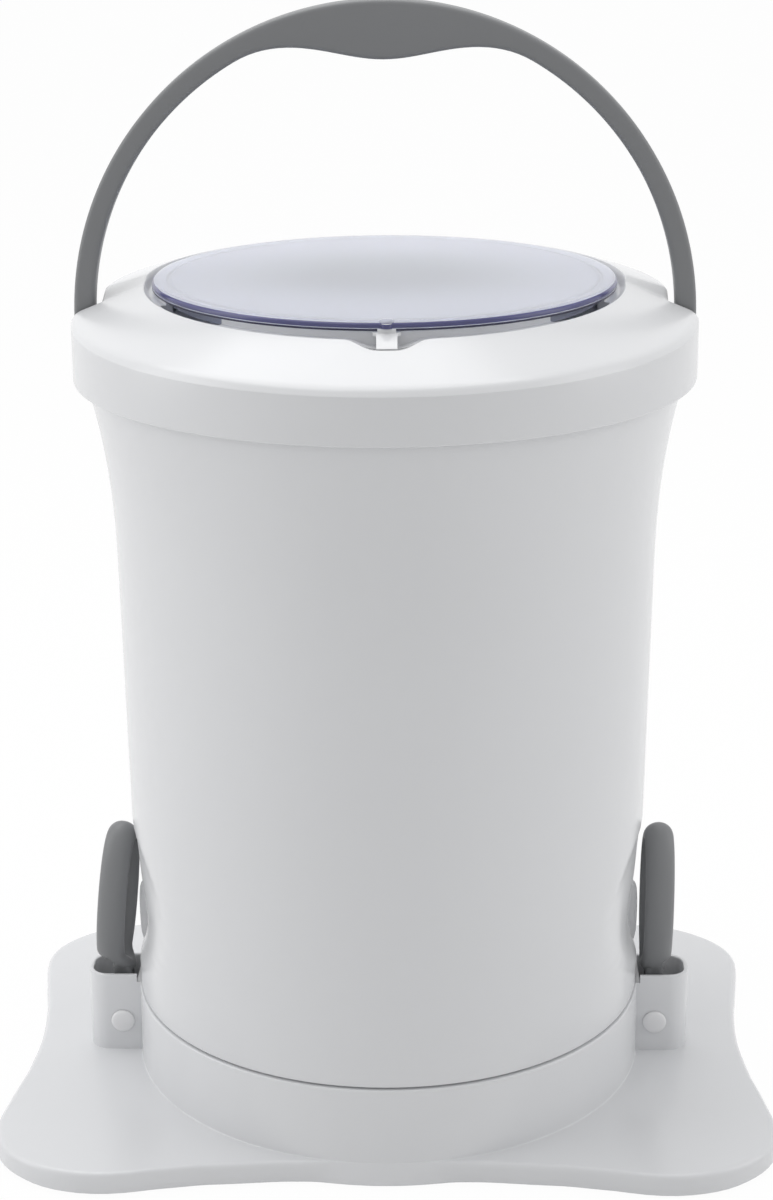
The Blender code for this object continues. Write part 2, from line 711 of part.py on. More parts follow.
def latch_pins(look, body):
    """Headed pins along Y, through both walls of each pocket."""
    wall = POCKET_HALF_WIDTH + SEAT_GAP
    end = wall + LATCH_PIN_HEAD_HEIGHT
    head = LATCH_PIN_HEAD_RADIUS
    profile = [
        (0, -end),
        (head * 0.6, -end + LATCH_PIN_HEAD_HEIGHT * 0.15),
        (head * 0.93, -end + LATCH_PIN_HEAD_HEIGHT * 0.5),
        (head, -wall),
        (LATCH_PIN_RADIUS, -wall),
        (LATCH_PIN_RADIUS, wall),
        (LATCH_PIN_RADIUS * 1.4, wall),
        (LATCH_PIN_RADIUS, end),
        (0, end),
    ]
    for side, word in ((-1, "left"), (1, "right")):
        lay = Matrix.Translation((side * LATCH_PIN_X, 0, LATCH_PIN_Z)) @ Matrix.Rotation(-QUARTER, 4, "X")
        turned(f"latch_pin_{word}", profile, look["acetal"], body, azimuths_of(FEW_SIDES), lay)


def latch_ring(word, side, look, body):
    """A narrow loop, slimmer at its throat, on a tang which turns on the pin in its pocket."""
    lean = 0 if side > 0 else LATCH_LEFT_LEAN
    pin = Vector((side * LATCH_PIN_X, 0, LATCH_PIN_Z))
    tilt = Matrix.Translation(pin) @ Matrix.Rotation(lean, 4, "Y") @ Matrix.Translation(-pin)
    middle = Vector((side * LATCH_RING_X, 0, LATCH_RING_CENTRE_Z))
    half_x = LATCH_RING_THICKNESS_X / 2
    side_half, end_half = LATCH_RING_THICKNESS_RADIAL / 2, LATCH_RING_END_THICKNESS / 2
    sections = []
    for step in range(LATCH_RING_STEPS):
        angle = TURN * step / LATCH_RING_STEPS
        c, s = math.cos(angle), math.sin(angle)
        power = 2 / LATCH_RING_FULLNESS
        y = LATCH_RING_HALF_WIDTH * math.copysign(abs(c) ** power, c)
        z = LATCH_RING_HALF_HEIGHT * math.copysign(abs(s) ** power, s)
        outward = Vector((0, c / LATCH_RING_HALF_WIDTH, s / LATCH_RING_HALF_HEIGHT)).normalized()
        half_r = side_half + (end_half - side_half) * s * s
        section = []
        for k in range(LATCH_SECTION_SIDES):
            around = TURN * (k + 0.5) / LATCH_SECTION_SIDES
            point = middle + Vector((0, y, z)) + outward * half_r * math.sin(around)
            rise = min(max((point.z - LATCH_THROAT_Z) / LATCH_THROAT_RISE, 0), 1)
            point.x += half_x * math.cos(around) * (LATCH_THROAT_SHARE + (1 - LATCH_THROAT_SHARE) * rise)
            section.append(tilt @ point)
        sections.append(section)
    ring = lofted(f"latch_ring_{word}", sections, look["grey"], body, closed=True)
    half_t = LATCH_TANG_THICKNESS / 2
    corner = half_t / 2
    top = LATCH_RING_CENTRE_Z - LATCH_RING_HALF_HEIGHT
    tang_sections = []
    for height in (LATCH_PIN_Z, top):
        half_y = LATCH_TANG_HALF_WIDTH
        tang_sections.append([
            tilt @ Vector((pin.x + dx, dy, height))
            for dx, dy in (
                (half_t, -half_y + corner),
                (half_t, half_y - corner),
                (half_t - corner, half_y),
                (-half_t + corner, half_y),
                (-half_t, half_y - corner),
                (-half_t, -half_y + corner),
                (-half_t + corner, -half_y),
                (half_t - corner, -half_y),
            )
        ])
    boolean(ring, lofted(f"latch_tang_{word}", tang_sections, None), "UNION")
    barrel_half = LATCH_TANG_HALF_WIDTH + WELD_DEPTH
    start = (pin.x, -barrel_half, pin.z)
    barrel = rod(f"latch_barrel_{word}", LATCH_BARREL_RADIUS, start, 2 * barrel_half, (0, 1, 0),
                 sides=FEW_SIDES)
    boolean(ring, barrel, "UNION")
    start = (pin.x, -barrel_half - OVERRUN, pin.z)
    reach = 2 * (barrel_half + OVERRUN)
    bore = rod(f"latch_bore_{word}", LATCH_PIN_RADIUS + RUNNING_GAP, start, reach, (0, 1, 0),
               sides=FEW_SIDES)
    boolean(ring, bore, "DIFFERENCE")


# Guide column and drive screw

def guide_column(look, body):
    inner = COLUMN_RADIUS - COLUMN_WALL
    flange_top = COLUMN_FOOT + COLUMN_FLANGE_THICKNESS
    profile = [
        (COLUMN_FLANGE_RADIUS, COLUMN_FOOT),
        (COLUMN_FLANGE_RADIUS, flange_top),
        (COLUMN_RADIUS + COLUMN_WALL / 2, flange_top),
        (COLUMN_RADIUS, flange_top + COLUMN_WALL),
        (COLUMN_RADIUS, COLUMN_TOP),
        (inner, COLUMN_TOP),
        (inner, COLUMN_FOOT),
    ]
    column = turned("guide_column", profile, look["body"], body)
    for number, (x, y) in enumerate(screw_places(COLUMN_SCREW_CIRCLE, COLUMN_SCREW_COUNT)):
        start = (x, y, COLUMN_FOOT - OVERRUN)
        depth = COLUMN_FLANGE_THICKNESS + 2 * OVERRUN
        boolean(column, rod(f"flange_hole_{number}", COLUMN_SCREW_RADIUS + SEAT_GAP, start, depth, (0, 0, 1),
                            sides=SCREW_HEAD_SIDES), "DIFFERENCE")
    bush_top = COLUMN_TOP
    bush_bore = COLUMN_RADIUS + SEAT_GAP
    washer("column_bush", bush_bore, bush_bore + BUSH_WALL, bush_top - BUSH_HEIGHT, BUSH_HEIGHT, look["acetal"],
           body)


def round_head_screw(name, x, y, seat, shank_end, radius, head_radius, head_height, look, body):
    """A screw that points down, with its head on the seat."""
    profile = [
        (0, shank_end),
        (radius, shank_end),
        (radius, seat),
        (head_radius, seat),
        (head_radius, seat + head_height * 0.45),
        (head_radius * 0.6, seat + head_height),
        (0, seat + head_height),
    ]
    place = Matrix.Translation((x, y, 0))
    turned(name, profile, look["steel"], body, azimuths_of(SCREW_HEAD_SIDES), place)


def column_screws(look, body):
    seat = COLUMN_FOOT + COLUMN_FLANGE_THICKNESS + SEAT_GAP
    for number, (x, y) in enumerate(screw_places(COLUMN_SCREW_CIRCLE, COLUMN_SCREW_COUNT), 1):
        round_head_screw(f"column_screw_{number}", x, y, seat, PLATE_UNDER - OVERRUN, COLUMN_SCREW_RADIUS,
                         COLUMN_SCREW_HEAD_RADIUS, COLUMN_SCREW_HEAD_HEIGHT, look, body)


def bar_section(height, width, thickness, chamfer):
    """The flat bar's section, turned by the twist that it has at this height."""
    half_w, half_t = width / 2, thickness / 2
    corners = [
        (half_w, -half_t + chamfer),
        (half_w, half_t - chamfer),
        (half_w - chamfer, half_t),
        (-half_w + chamfer, half_t),
        (-half_w, half_t - chamfer),
        (-half_w, -half_t + chamfer),
        (-half_w + chamfer, -half_t),
        (half_w - chamfer, -half_t),
    ]
    twist = Matrix.Rotation(TURN * height / SCREW_LEAD, 3, "Z")
    return [twist @ Vector((x, y, height)) for x, y in corners]


def round_section(height, radius):
    """Eight points on a circle, in line with the bar's own eight at this height."""
    start = TURN * height / SCREW_LEAD - TURN / SCREW_SIDES / 2
    turns = [start + TURN * i / SCREW_SIDES for i in range(SCREW_SIDES)]
    return [Vector((radius * math.cos(turn), radius * math.sin(turn), height)) for turn in turns]


def drive_screw(look, body):
    """A flat bar twisted along its length, with a flange and a stub below and a stub above."""
    sections = [
        round_section(SCREW_STUB_BOTTOM, SCREW_STUB_RADIUS),
        round_section(COLUMN_FOOT - WELD_DEPTH / 5, SCREW_STUB_RADIUS),
        round_section(COLUMN_FOOT, SCREW_FLANGE_RADIUS),
        round_section(SCREW_TWIST_BOTTOM - WELD_DEPTH, SCREW_FLANGE_RADIUS),
    ]
    for step in range(SCREW_STEPS + 1):
        height = SCREW_TWIST_BOTTOM + (SCREW_TWIST_TOP - SCREW_TWIST_BOTTOM) * step / SCREW_STEPS
        sections.append(bar_section(height, SCREW_WIDTH, SCREW_THICKNESS, SCREW_CHAMFER))
    stub = SCREW_THICKNESS / 2
    for height in (SCREW_TWIST_TOP + WELD_DEPTH / 5, SCREW_TWIST_TOP + STOP_STUB_LENGTH):
        sections.append(round_section(height, stub))
    lofted("drive_screw", sections, look["steel"], body)
    nut_top = PLATE_UNDER - SEAT_GAP
    washer("anchor_nut", SCREW_STUB_RADIUS + SEAT_GAP, ANCHOR_NUT_RADIUS, nut_top - ANCHOR_NUT_HEIGHT,
           ANCHOR_NUT_HEIGHT, look["steel"], body, sides=6)
    stop_z = SCREW_TWIST_TOP + SEAT_GAP + WELD_DEPTH / 5
    washer("screw_stop", stub + SEAT_GAP, STOP_RADIUS, stop_z, STOP_THICKNESS, look["steel"], body, FEW_SIDES)
    washer("stop_nut", stub + SEAT_GAP, STOP_NUT_RADIUS, stop_z + STOP_THICKNESS + SEAT_GAP, STOP_NUT_HEIGHT,
           look["steel"], body, sides=6)


# Outer tub

def tub_radius(height):
    """The tub's outer radius: nearly straight, with a trumpet flare under the ring."""
    radius = TUB_BOTTOM_RADIUS + TUB_DRAFT_SHARE * (height - TUB_REST)
    rise = (min(height, TUB_FLARE_END) - TUB_FLARE_START) / (TUB_FLARE_END - TUB_FLARE_START)
    return radius + TUB_FLARE_GAIN * max(rise, 0) ** TUB_FLARE_POWER


def dent_depth(azimuth, height):
    """How far the wall is pressed in behind the latches: a broad dent with a deep scoop low in it."""
    from_right, from_left = math.remainder(azimuth, TURN), math.remainder(azimuth - TURN / 2, TURN)
    across = min(abs(from_right), abs(from_left)) / DENT_HALF_ANGLE
    up = (height - DENT_SHALLOW_CENTRE) / DENT_SHALLOW_HALF_HEIGHT
    reach = math.hypot(across, up)
    if reach >= 1:
        return 0
    edge = (1 - reach * reach) ** 2
    shallow = DENT_SHALLOW_DEPTH * min(1, 3 * edge)
    spread = DENT_DEEP_ABOVE if height > DENT_DEEP_CENTRE else DENT_DEEP_BELOW
    deep = math.exp(-((height - DENT_DEEP_CENTRE) / spread) ** 2)
    return shallow + DENT_DEEP_DEPTH * deep * math.cos(QUARTER * min(1, across)) ** 1.5


def tub_azimuths():
    """Close columns over the two dents, wider ones at the front and the back."""
    fine = [DENT_HALF_ANGLE * step / DENT_STEP_COUNT for step in range(-DENT_STEP_COUNT, DENT_STEP_COUNT + 1)]
    gap = TURN / 2 - 2 * DENT_HALF_ANGLE
    half = fine + [DENT_HALF_ANGLE + gap * step / TUB_WIDE_COLUMNS for step in range(1, TUB_WIDE_COLUMNS)]
    return half + [azimuth + TURN / 2 for azimuth in half]


def levels(start, end, count):
    return [start + (end - start) * step / count for step in range(count + 1)]


def outer_tub(look, body):
    dent_bottom = DENT_SHALLOW_CENTRE - DENT_SHALLOW_HALF_HEIGHT
    dent = [TUB_REST] + [dent_bottom + 2 * DENT_SHALLOW_HALF_HEIGHT * share for share in DENT_LEVEL_SHARES]
    outer = list(dent)
    outer += levels(TUB_FLARE_START, TUB_FLARE_END, TUB_FLARE_STEPS)
    outer.append(TUB_TOP)
    floor_under = TUB_FLOOR_TOP - TUB_WALL
    corner = TUB_FLOOR_CORNER
    inner_up = [TUB_TOP] + list(reversed(levels(TUB_FLARE_START, TUB_FLARE_END, TUB_FLARE_STEPS - 1)))
    inner_low = list(reversed(dent))
    profile = [(tub_radius(z), z) for z in outer]
    profile += [(tub_radius(z) - TUB_WALL, z) for z in inner_up]
    wall_at_floor = tub_radius(TUB_FLOOR_TOP) - TUB_WALL
    sleeve_outer = SLEEVE_RADIUS + SLEEVE_WALL
    profile += [
        (wall_at_floor, TUB_FLOOR_TOP + corner),
        (wall_at_floor - corner, TUB_FLOOR_TOP),
        (CUP_OUTER_RADIUS, TUB_FLOOR_TOP),
        (CUP_OUTER_RADIUS, NUT_CUP_TOP),
        (NUT_CUP_RADIUS, NUT_CUP_TOP),
        (NUT_CUP_RADIUS, NUT_CUP_FLOOR),
        (NUT_CUP_HOLE_RADIUS, NUT_CUP_FLOOR),
        (NUT_CUP_HOLE_RADIUS, NUT_CUP_FLOOR - TUB_WALL),
        (SLEEVE_RADIUS, NUT_CUP_FLOOR - TUB_WALL),
        (SLEEVE_RADIUS, SLEEVE_BOTTOM),
        (sleeve_outer, SLEEVE_BOTTOM),
        (sleeve_outer, floor_under),
        (wall_at_floor, floor_under),
    ]
    profile += [(tub_radius(z) - TUB_WALL, z) for z in inner_low]
    near_wall = wall_at_floor - corner - TUB_WALL

    def pressed_in(index, radius, height, azimuth):
        if radius < near_wall or height > floor_under:
            return radius, height
        return radius - dent_depth(azimuth, height), height

    tub = turned("outer_tub", profile, look["body"], body, tub_azimuths(), shape=pressed_in)
    for side, word in ((-1, "left"), (1, "right")):
        root = LUG_REACH - LUG_ROOT_DEPTH
        slope = LUG_ROOT_DEPTH / 2
        outline = [(root, LUG_BOTTOM), (LUG_REACH - slope, LUG_BOTTOM), (LUG_REACH, LUG_BOTTOM + slope),
                   (LUG_REACH, LUG_TOP - LUG_ROOT_DEPTH), (LUG_REACH - slope, LUG_TOP), (root, LUG_TOP)]
        sections = [[(side * x, y, z) for x, z in outline] for y in (-LUG_HALF_THICKNESS, LUG_HALF_THICKNESS)]
        boolean(tub, lofted(f"lug_{word}", sections, None), "UNION")
    start = (0, wall_at_floor - corner, DRAIN_HEIGHT)
    boolean(tub, rod("drain_hole", DRAIN_RADIUS + SEAT_GAP, start, 4 * corner, (0, 1, 0)), "DIFFERENCE")


def sleeve_bush(look, body):
    outer = SLEEVE_RADIUS - SEAT_GAP
    washer("sleeve_bush", COLUMN_RADIUS + RUNNING_GAP, outer, SLEEVE_BOTTOM + WELD_DEPTH, BUSH_HEIGHT,
           look["acetal"], body)


def drain_plug(look, body):
    """A rubber plug with a flange outside the wall and a short pull tab."""
    wall_inside = tub_radius(DRAIN_HEIGHT) - TUB_WALL
    flange = tub_radius(DRAIN_HEIGHT) + SEAT_GAP
    flange_end = flange + DRAIN_FLANGE_THICKNESS
    profile = [
        (0, wall_inside),
        (DRAIN_RADIUS - RUNNING_GAP, wall_inside),
        (DRAIN_RADIUS, wall_inside + TUB_WALL / 2),
        (DRAIN_RADIUS, flange),
        (DRAIN_FLANGE_RADIUS, flange),
        (DRAIN_FLANGE_RADIUS, flange_end),
        (DRAIN_TAB_RADIUS, flange_end),
        (DRAIN_TAB_RADIUS, flange_end + DRAIN_TAB_LENGTH),
        (0, flange_end + DRAIN_TAB_LENGTH),
    ]
    place = Matrix.Translation((0, 0, DRAIN_HEIGHT)) @ Matrix.Rotation(-QUARTER, 4, "X")
    turned("drain_plug", profile, look["rubber"], body, place=place)


# Top ring

def ring_height(radius, azimuth):
    """The sloping top of the ring's front half, a little lower at the front than at the sides."""
    slope = RING_SLOPE_SHARE * (RING_RADIUS - RING_SHOULDER - radius)
    return RING_EDGE_Z + RING_SHOULDER_RISE + slope + RING_TILT_SHARE * radius * math.sin(azimuth)


def neck_height(radius):
    """The top of the raised neck in the ring's rear half."""
    return RING_NECK_TOP - RING_NECK_SLOPE_SHARE * (radius - RING_RECESS_RADIUS)


def step_angle():
    return math.asin(RING_STEP_BACK / RING_NECK_RADIUS)


def is_rear(azimuth, margin=0.0):
    return math.sin(azimuth) > -math.sin(step_angle() + margin) + 1e-6


def neck_radius(azimuth):
    """The neck's outer radius, drawn in at the back to leave a bay for the folded handle's grip."""
    along = abs(RING_NECK_RADIUS * math.cos(azimuth)) / RING_GRIP_BAY_HALF_LENGTH
    if along >= 1 or math.sin(azimuth) < 0:
        return RING_NECK_RADIUS
    return RING_NECK_RADIUS - RING_GRIP_BAY_DEPTH * 0.5 * (1 + math.cos(TURN / 2 * along))


def ring_azimuths():
    """Even columns, with close ones at each side where the rear half steps down."""
    step = step_angle()
    wall = RING_WALL / RING_NECK_RADIUS
    close = wall / 3
    rear = levels(-step + close, TURN / 2 + step - close, RING_REAR_COLUMNS)
    front = levels(TURN / 2 + step + wall + close, TURN - step - wall - close, RING_FRONT_COLUMNS)
    return rear + [TURN / 2 + step, TURN / 2 + step + wall] + front + [TURN - step - wall, TURN - step]


def ring_section(azimuth):
    """The ring's section in three runs: the shared lid seat, the top and skirt, and the underside."""
    opening = RING_OPENING_RADIUS
    upstand = opening + RING_UPSTAND_WALL
    recess = RING_RECESS_RADIUS
    shoulder = RING_RADIUS - RING_SHOULDER
    skirt_in = RING_RADIUS - RING_WALL
    lip = RING_RADIUS - RING_LIP_DEPTH
    small = RING_WALL / 3
    seat_under = RING_RECESS_Z - RING_WALL
    seat = [
        (opening, RING_OPENING_DROP),
        (opening, RING_UPSTAND_TOP),
        (upstand, RING_UPSTAND_TOP),
        (upstand, RING_RECESS_Z),
        (recess, RING_RECESS_Z),
    ]
    skirt = [
        (RING_RADIUS, RING_BOTTOM + small),
        (RING_RADIUS - small, RING_BOTTOM),
        (lip, RING_BOTTOM),
        (skirt_in, RING_BOTTOM + RING_WALL),
    ]
    seat_back = [
        (upstand - small, seat_under),
        (upstand - small, RING_OPENING_DROP),
    ]
    neck = neck_radius(azimuth)
    edge = RING_NECK_EDGE
    shelf = RING_SHELF_Z
    if is_rear(azimuth):
        top = [
            (recess + small, neck_height(recess + small)),
            (neck - edge, neck_height(neck - edge)),
            (neck, neck_height(neck) - edge),
            (neck + small, shelf),
            (RING_RADIUS - 2 * small, shelf),
            (RING_RADIUS, shelf - 2 * small),
        ]
    else:
        tilt = RING_TILT_SHARE * RING_RADIUS * math.sin(azimuth)
        radii = (recess + small, neck - edge, neck, neck + edge, shoulder)
        top = [(radius, ring_height(radius, azimuth)) for radius in radii]
        top.append((RING_RADIUS, RING_EDGE_Z + tilt))
    if is_rear(azimuth, RING_WALL / RING_NECK_RADIUS):
        below = [
            (skirt_in, shelf - RING_WALL),
            (neck - RING_WALL, shelf - RING_WALL),
            (neck - RING_WALL - small, neck_height(neck) - 2 * RING_WALL),
            (recess + 1.5 * RING_WALL, neck_height(recess) - 1.9 * RING_WALL),
            (recess + RING_WALL, seat_under),
        ]
    else:
        tilt = RING_TILT_SHARE * RING_RADIUS * math.sin(azimuth)
        radii = (shoulder - small, neck - RING_WALL, recess + RING_WALL)
        below = [(skirt_in, RING_EDGE_Z + tilt - RING_SHOULDER_RISE / 2)]
        below += [(radius, ring_height(radius, azimuth) - RING_WALL) for radius in radii]
        below.append((recess - small, seat_under))
    return seat + top + skirt + below + seat_back


def top_ring(look, body):
    """Lofts the ring's section round the axis, because its front and rear halves differ."""
    columns = []
    for azimuth in ring_azimuths():
        section = ring_section(azimuth)
        columns.append([(r * math.cos(azimuth), r * math.sin(azimuth), z) for r, z in section])
    ring = lofted("top_ring", columns, look["body"], body, closed=True)
    for side, word in ((-1, "left"), (1, "right")):
        wall = RING_NECK_RADIUS - 3 * RING_WALL
        start = (side * wall, 0, HANDLE_PIVOT_Z)
        hole = rod(f"handle_pin_hole_{word}", HANDLE_PIN_RADIUS + SEAT_GAP, start, 4 * RING_WALL, (side, 0, 0),
                   sides=FEW_SIDES)
        boolean(ring, hole, "DIFFERENCE")
        gap_mid = -QUARTER + side * FINGER_GAP_AZIMUTH
        rings = []
        inner = RING_OPENING_RADIUS - OVERRUN
        outer = RING_OPENING_RADIUS + RING_UPSTAND_WALL + RING_WALL / 3
        bottom = RING_RECESS_Z + WELD_DEPTH
        for height in (bottom, RING_UPSTAND_TOP + OVERRUN):
            arc = []
            for radius, order in ((inner, (-1, 0, 1)), (outer, (1, 0, -1))):
                for step in order:
                    azimuth = gap_mid + step * FINGER_GAP_HALF_ANGLE
                    arc.append((radius * math.cos(azimuth), radius * math.sin(azimuth), height))
            rings.append(arc)
        boolean(ring, lofted(f"finger_gap_{word}", rings, None), "DIFFERENCE")
    low = (-RING_NOTCH_HALF_WIDTH, -RING_RECESS_RADIUS - RING_NOTCH_DEPTH, RING_RECESS_Z)
    high = (RING_NOTCH_HALF_WIDTH, -RING_RECESS_RADIUS + OVERRUN, RING_UPSTAND_TOP)
    boolean(ring, block("clip_notch", low, high), "DIFFERENCE")


# Lid

def lid(look, body):
    """A clear, slightly crowned disc with a rounded rim and a short skirt that finds the opening."""
    skirt = RING_OPENING_RADIUS - LID_SKIRT_GAP
    under = LID_TOP - LID_WALL
    skirt_in = skirt - LID_SKIRT_WALL
    profile = [
        (0, LID_TOP + LID_CROWN),
        (LID_RADIUS - LID_EDGE, LID_TOP),
        (LID_RADIUS, LID_TOP - LID_EDGE),
        (LID_RADIUS, LID_RIM_Z),
        (skirt, LID_RIM_Z),
        (skirt, LID_RIM_Z - LID_SKIRT_DROP),
        (skirt_in, LID_RIM_Z - LID_SKIRT_DROP),
        (skirt_in, under),
        (0, under + LID_CROWN),
    ]
    cover = turned("lid", profile, look["lid"], body, azimuths_of(BODY_SIDES))
    start = (0, -LID_RADIUS + 2 * LID_KNOB_RADIUS, LID_TOP - LID_WALL / 2)
    knob = rod("lid_knob", LID_KNOB_RADIUS, start, LID_KNOB_HEIGHT + LID_WALL / 2, (0, 0, 1), sides=FEW_SIDES)
    boolean(cover, knob, "UNION")


def lid_clips(look, body):
    """T-shaped clips under the lid's rim, at the front and the back, that the rim is gripped by."""
    top = LID_RIM_Z - SEAT_GAP
    bottom = top - CLIP_THICKNESS
    inner = RING_OPENING_RADIUS + RING_UPSTAND_WALL + SEAT_GAP
    arm = inner + CLIP_THICKNESS
    for side, word, reach in ((-1, "front", CLIP_REACH), (1, "back", RING_RECESS_RADIUS - SEAT_GAP)):
        outline = [
            (-CLIP_ARM_HALF_WIDTH, inner),
            (CLIP_ARM_HALF_WIDTH, inner),
            (CLIP_ARM_HALF_WIDTH, arm),
            (CLIP_HALF_WIDTH, arm),
            (CLIP_HALF_WIDTH, reach),
            (-CLIP_HALF_WIDTH, reach),
            (-CLIP_HALF_WIDTH, arm),
            (-CLIP_ARM_HALF_WIDTH, arm),
        ]
        sections = [[(x, side * y, z) for x, y in outline] for z in (bottom, top)]
        lofted(f"lid_clip_{word}", sections, look["body"], body)


# Handle

def handle_section(centre, outward, outer, inner, half_depth):
    """Eight points round the bail: bevelled edges, flat front and back."""
    edge = min(HANDLE_EDGE, half_depth * 0.7)
    sides = half_depth - edge
    spots = (
        (outer, -sides), (outer, sides), (outer - edge, half_depth), (inner + edge, half_depth),
        (inner, sides), (inner, -sides), (inner + edge, -half_depth), (outer - edge, -half_depth),
    )
    return [centre + outward * r + Vector((0, y, 0)) for r, y in spots]


def handle_bail(look, body):
    half = HANDLE_DEPTH / 2
    leg_inner = HANDLE_RADIUS - HANDLE_THICKNESS
    sections = []
    round_steps = 3

    def leg(side):
        made = []
        for step in range(round_steps):
            angle = QUARTER * (step + 0.35) / (round_steps - 0.65)
            centre = Vector((0, 0, HANDLE_PIVOT_Z - half * math.cos(angle)))
            width = max(half * math.sin(angle), half / 4)
            made.append(handle_section(centre, Vector((side, 0, 0)), HANDLE_RADIUS, leg_inner, width))
        return made

    sections += leg(-1)
    arc = Vector((0, 0, HANDLE_ARC_Z))
    for step in range(HANDLE_STEPS + 1):
        angle = TURN / 2 * (1 - step / HANDLE_STEPS)
        outward = Vector((math.cos(angle), 0, math.sin(angle)))
        along = abs(HANDLE_MIDDLE * math.cos(angle))
        grip = 0
        if along < HANDLE_GRIP_HALF_LENGTH:
            grip = HANDLE_GRIP_GAIN * 0.5 * (1 + math.cos(TURN / 2 * along / HANDLE_GRIP_HALF_LENGTH))
        sections.append(handle_section(arc, outward, HANDLE_RADIUS, leg_inner - grip, half))
    sections += reversed(leg(1))
    bail = lofted("handle_bail", sections, look["grey"], body)
    for side, word in ((-1, "left"), (1, "right")):
        start = (side * (leg_inner - OVERRUN), 0, HANDLE_PIVOT_Z)
        reach = HANDLE_BORE_END - leg_inner + OVERRUN
        bore = rod(f"handle_bore_{word}", HANDLE_PIN_RADIUS + RUNNING_GAP, start, reach, (side, 0, 0),
                   sides=FEW_SIDES)
        boolean(bail, bore, "DIFFERENCE")


def handle_pins(look, body):
    """Headed pins along X, from inside the ring's neck into a blind bore in each leg."""
    profile = [
        (0, HANDLE_PIN_HEAD_SEAT - HANDLE_PIN_HEAD_HEIGHT),
        (HANDLE_PIN_HEAD_RADIUS, HANDLE_PIN_HEAD_SEAT - HANDLE_PIN_HEAD_HEIGHT),
        (HANDLE_PIN_HEAD_RADIUS, HANDLE_PIN_HEAD_SEAT),
        (HANDLE_PIN_RADIUS, HANDLE_PIN_HEAD_SEAT),
        (HANDLE_PIN_RADIUS, HANDLE_PIN_END),
        (0, HANDLE_PIN_END),
    ]
    for side, word in ((-1, "left"), (1, "right")):
        place = Matrix.Translation((0, 0, HANDLE_PIVOT_Z)) @ Matrix.Rotation(side * QUARTER, 4, "Y")
        turned(f"handle_pin_{word}", profile, look["steel"], body, azimuths_of(FEW_SIDES), place)


# Drive nut, clutch and bearing

def tooth_rise(azimuth):
    """A saw tooth: 0 at its foot, rising to 1 and dropping in the last step."""
    phase = (azimuth * TOOTH_COUNT / TURN) % 1
    return min(phase * TOOTH_STEPS / (TOOTH_STEPS - 1), 1)


def drive_nut(look, body):
    """A flanged nut with a twisted slot and saw teeth on top."""
    flange_top = NUT_Z + NUT_FLANGE_HEIGHT
    floor = NUT_TOOTH_FOOT_Z - TOOTH_HEIGHT / 2
    profile = [
        (0, NUT_Z),
        (NUT_FLANGE_RADIUS, NUT_Z),
        (NUT_FLANGE_RADIUS, flange_top),
        (NUT_BODY_RADIUS, flange_top),
        (NUT_BODY_RADIUS, NUT_TOOTH_FOOT_Z),
        (TOOTH_INNER_RADIUS, NUT_TOOTH_FOOT_Z),
        (TOOTH_INNER_RADIUS, floor),
        (0, floor),
    ]

    def toothed(index, radius, height, azimuth):
        if height == NUT_TOOTH_FOOT_Z:
            return radius, height + TOOTH_HEIGHT * tooth_rise(azimuth)
        return radius, height

    sides = azimuths_of(TOOTH_COUNT * TOOTH_STEPS)
    nut = turned("drive_nut", profile, look["acetal"], body, sides, shape=toothed)
    width = SCREW_WIDTH + 2 * NUT_SLOT_GAP
    thickness = SCREW_THICKNESS + 2 * NUT_SLOT_GAP
    sections = []
    for height in levels(NUT_Z - OVERRUN, floor + OVERRUN, NUT_SLOT_STEPS):
        sections.append(bar_section(height, width, thickness, SCREW_CHAMFER))
    boolean(nut, lofted("nut_slot", sections, None), "DIFFERENCE")


def clutch_crown(look, body):
    """The basket's half of the clutch, with its teeth facing down."""
    flange_bottom = CROWN_TOP - CROWN_FLANGE_HEIGHT
    foot = CROWN_TOOTH_TIP + TOOTH_HEIGHT
    profile = [
        (CROWN_FLANGE_RADIUS, CROWN_TOP),
        (TOOTH_INNER_RADIUS, CROWN_TOP),
        (TOOTH_INNER_RADIUS, foot),
        (NUT_BODY_RADIUS, foot),
        (NUT_BODY_RADIUS, flange_bottom),
        (CROWN_FLANGE_RADIUS, flange_bottom),
    ]

    def toothed(index, radius, height, azimuth):
        if height == foot:
            return radius, height - TOOTH_HEIGHT * (1 - tooth_rise(azimuth))
        return radius, height

    sides = azimuths_of(TOOTH_COUNT * TOOTH_STEPS)
    turned("clutch_crown", profile, look["acetal"], body, sides, shape=toothed)


def bearing(look, body):
    """What carries nut and basket on the tub's floor."""
    steel, acetal = look["steel"], look["acetal"]
    washer("nut_washer", NUT_CUP_HOLE_RADIUS, NUT_FLANGE_RADIUS, NUT_WASHER_Z, NUT_WASHER_THICKNESS, steel, body,
           FEW_SIDES)
    washer("nut_retainer", NUT_BODY_RADIUS + RUNNING_GAP, NUT_CUP_RADIUS - SEAT_GAP, RETAINER_Z,
           RETAINER_THICKNESS, steel, body, FEW_SIDES)
    washer("thrust_washer", BEARING_INNER, THRUST_WASHER_RADIUS, THRUST_Z, THRUST_WASHER_THICKNESS, acetal, body)
    washer("bearing_bush", BEARING_INNER, BEARING_INNER + BEARING_WALL, HUB_BOTTOM, BEARING_HEIGHT, acetal, body)


# Basket

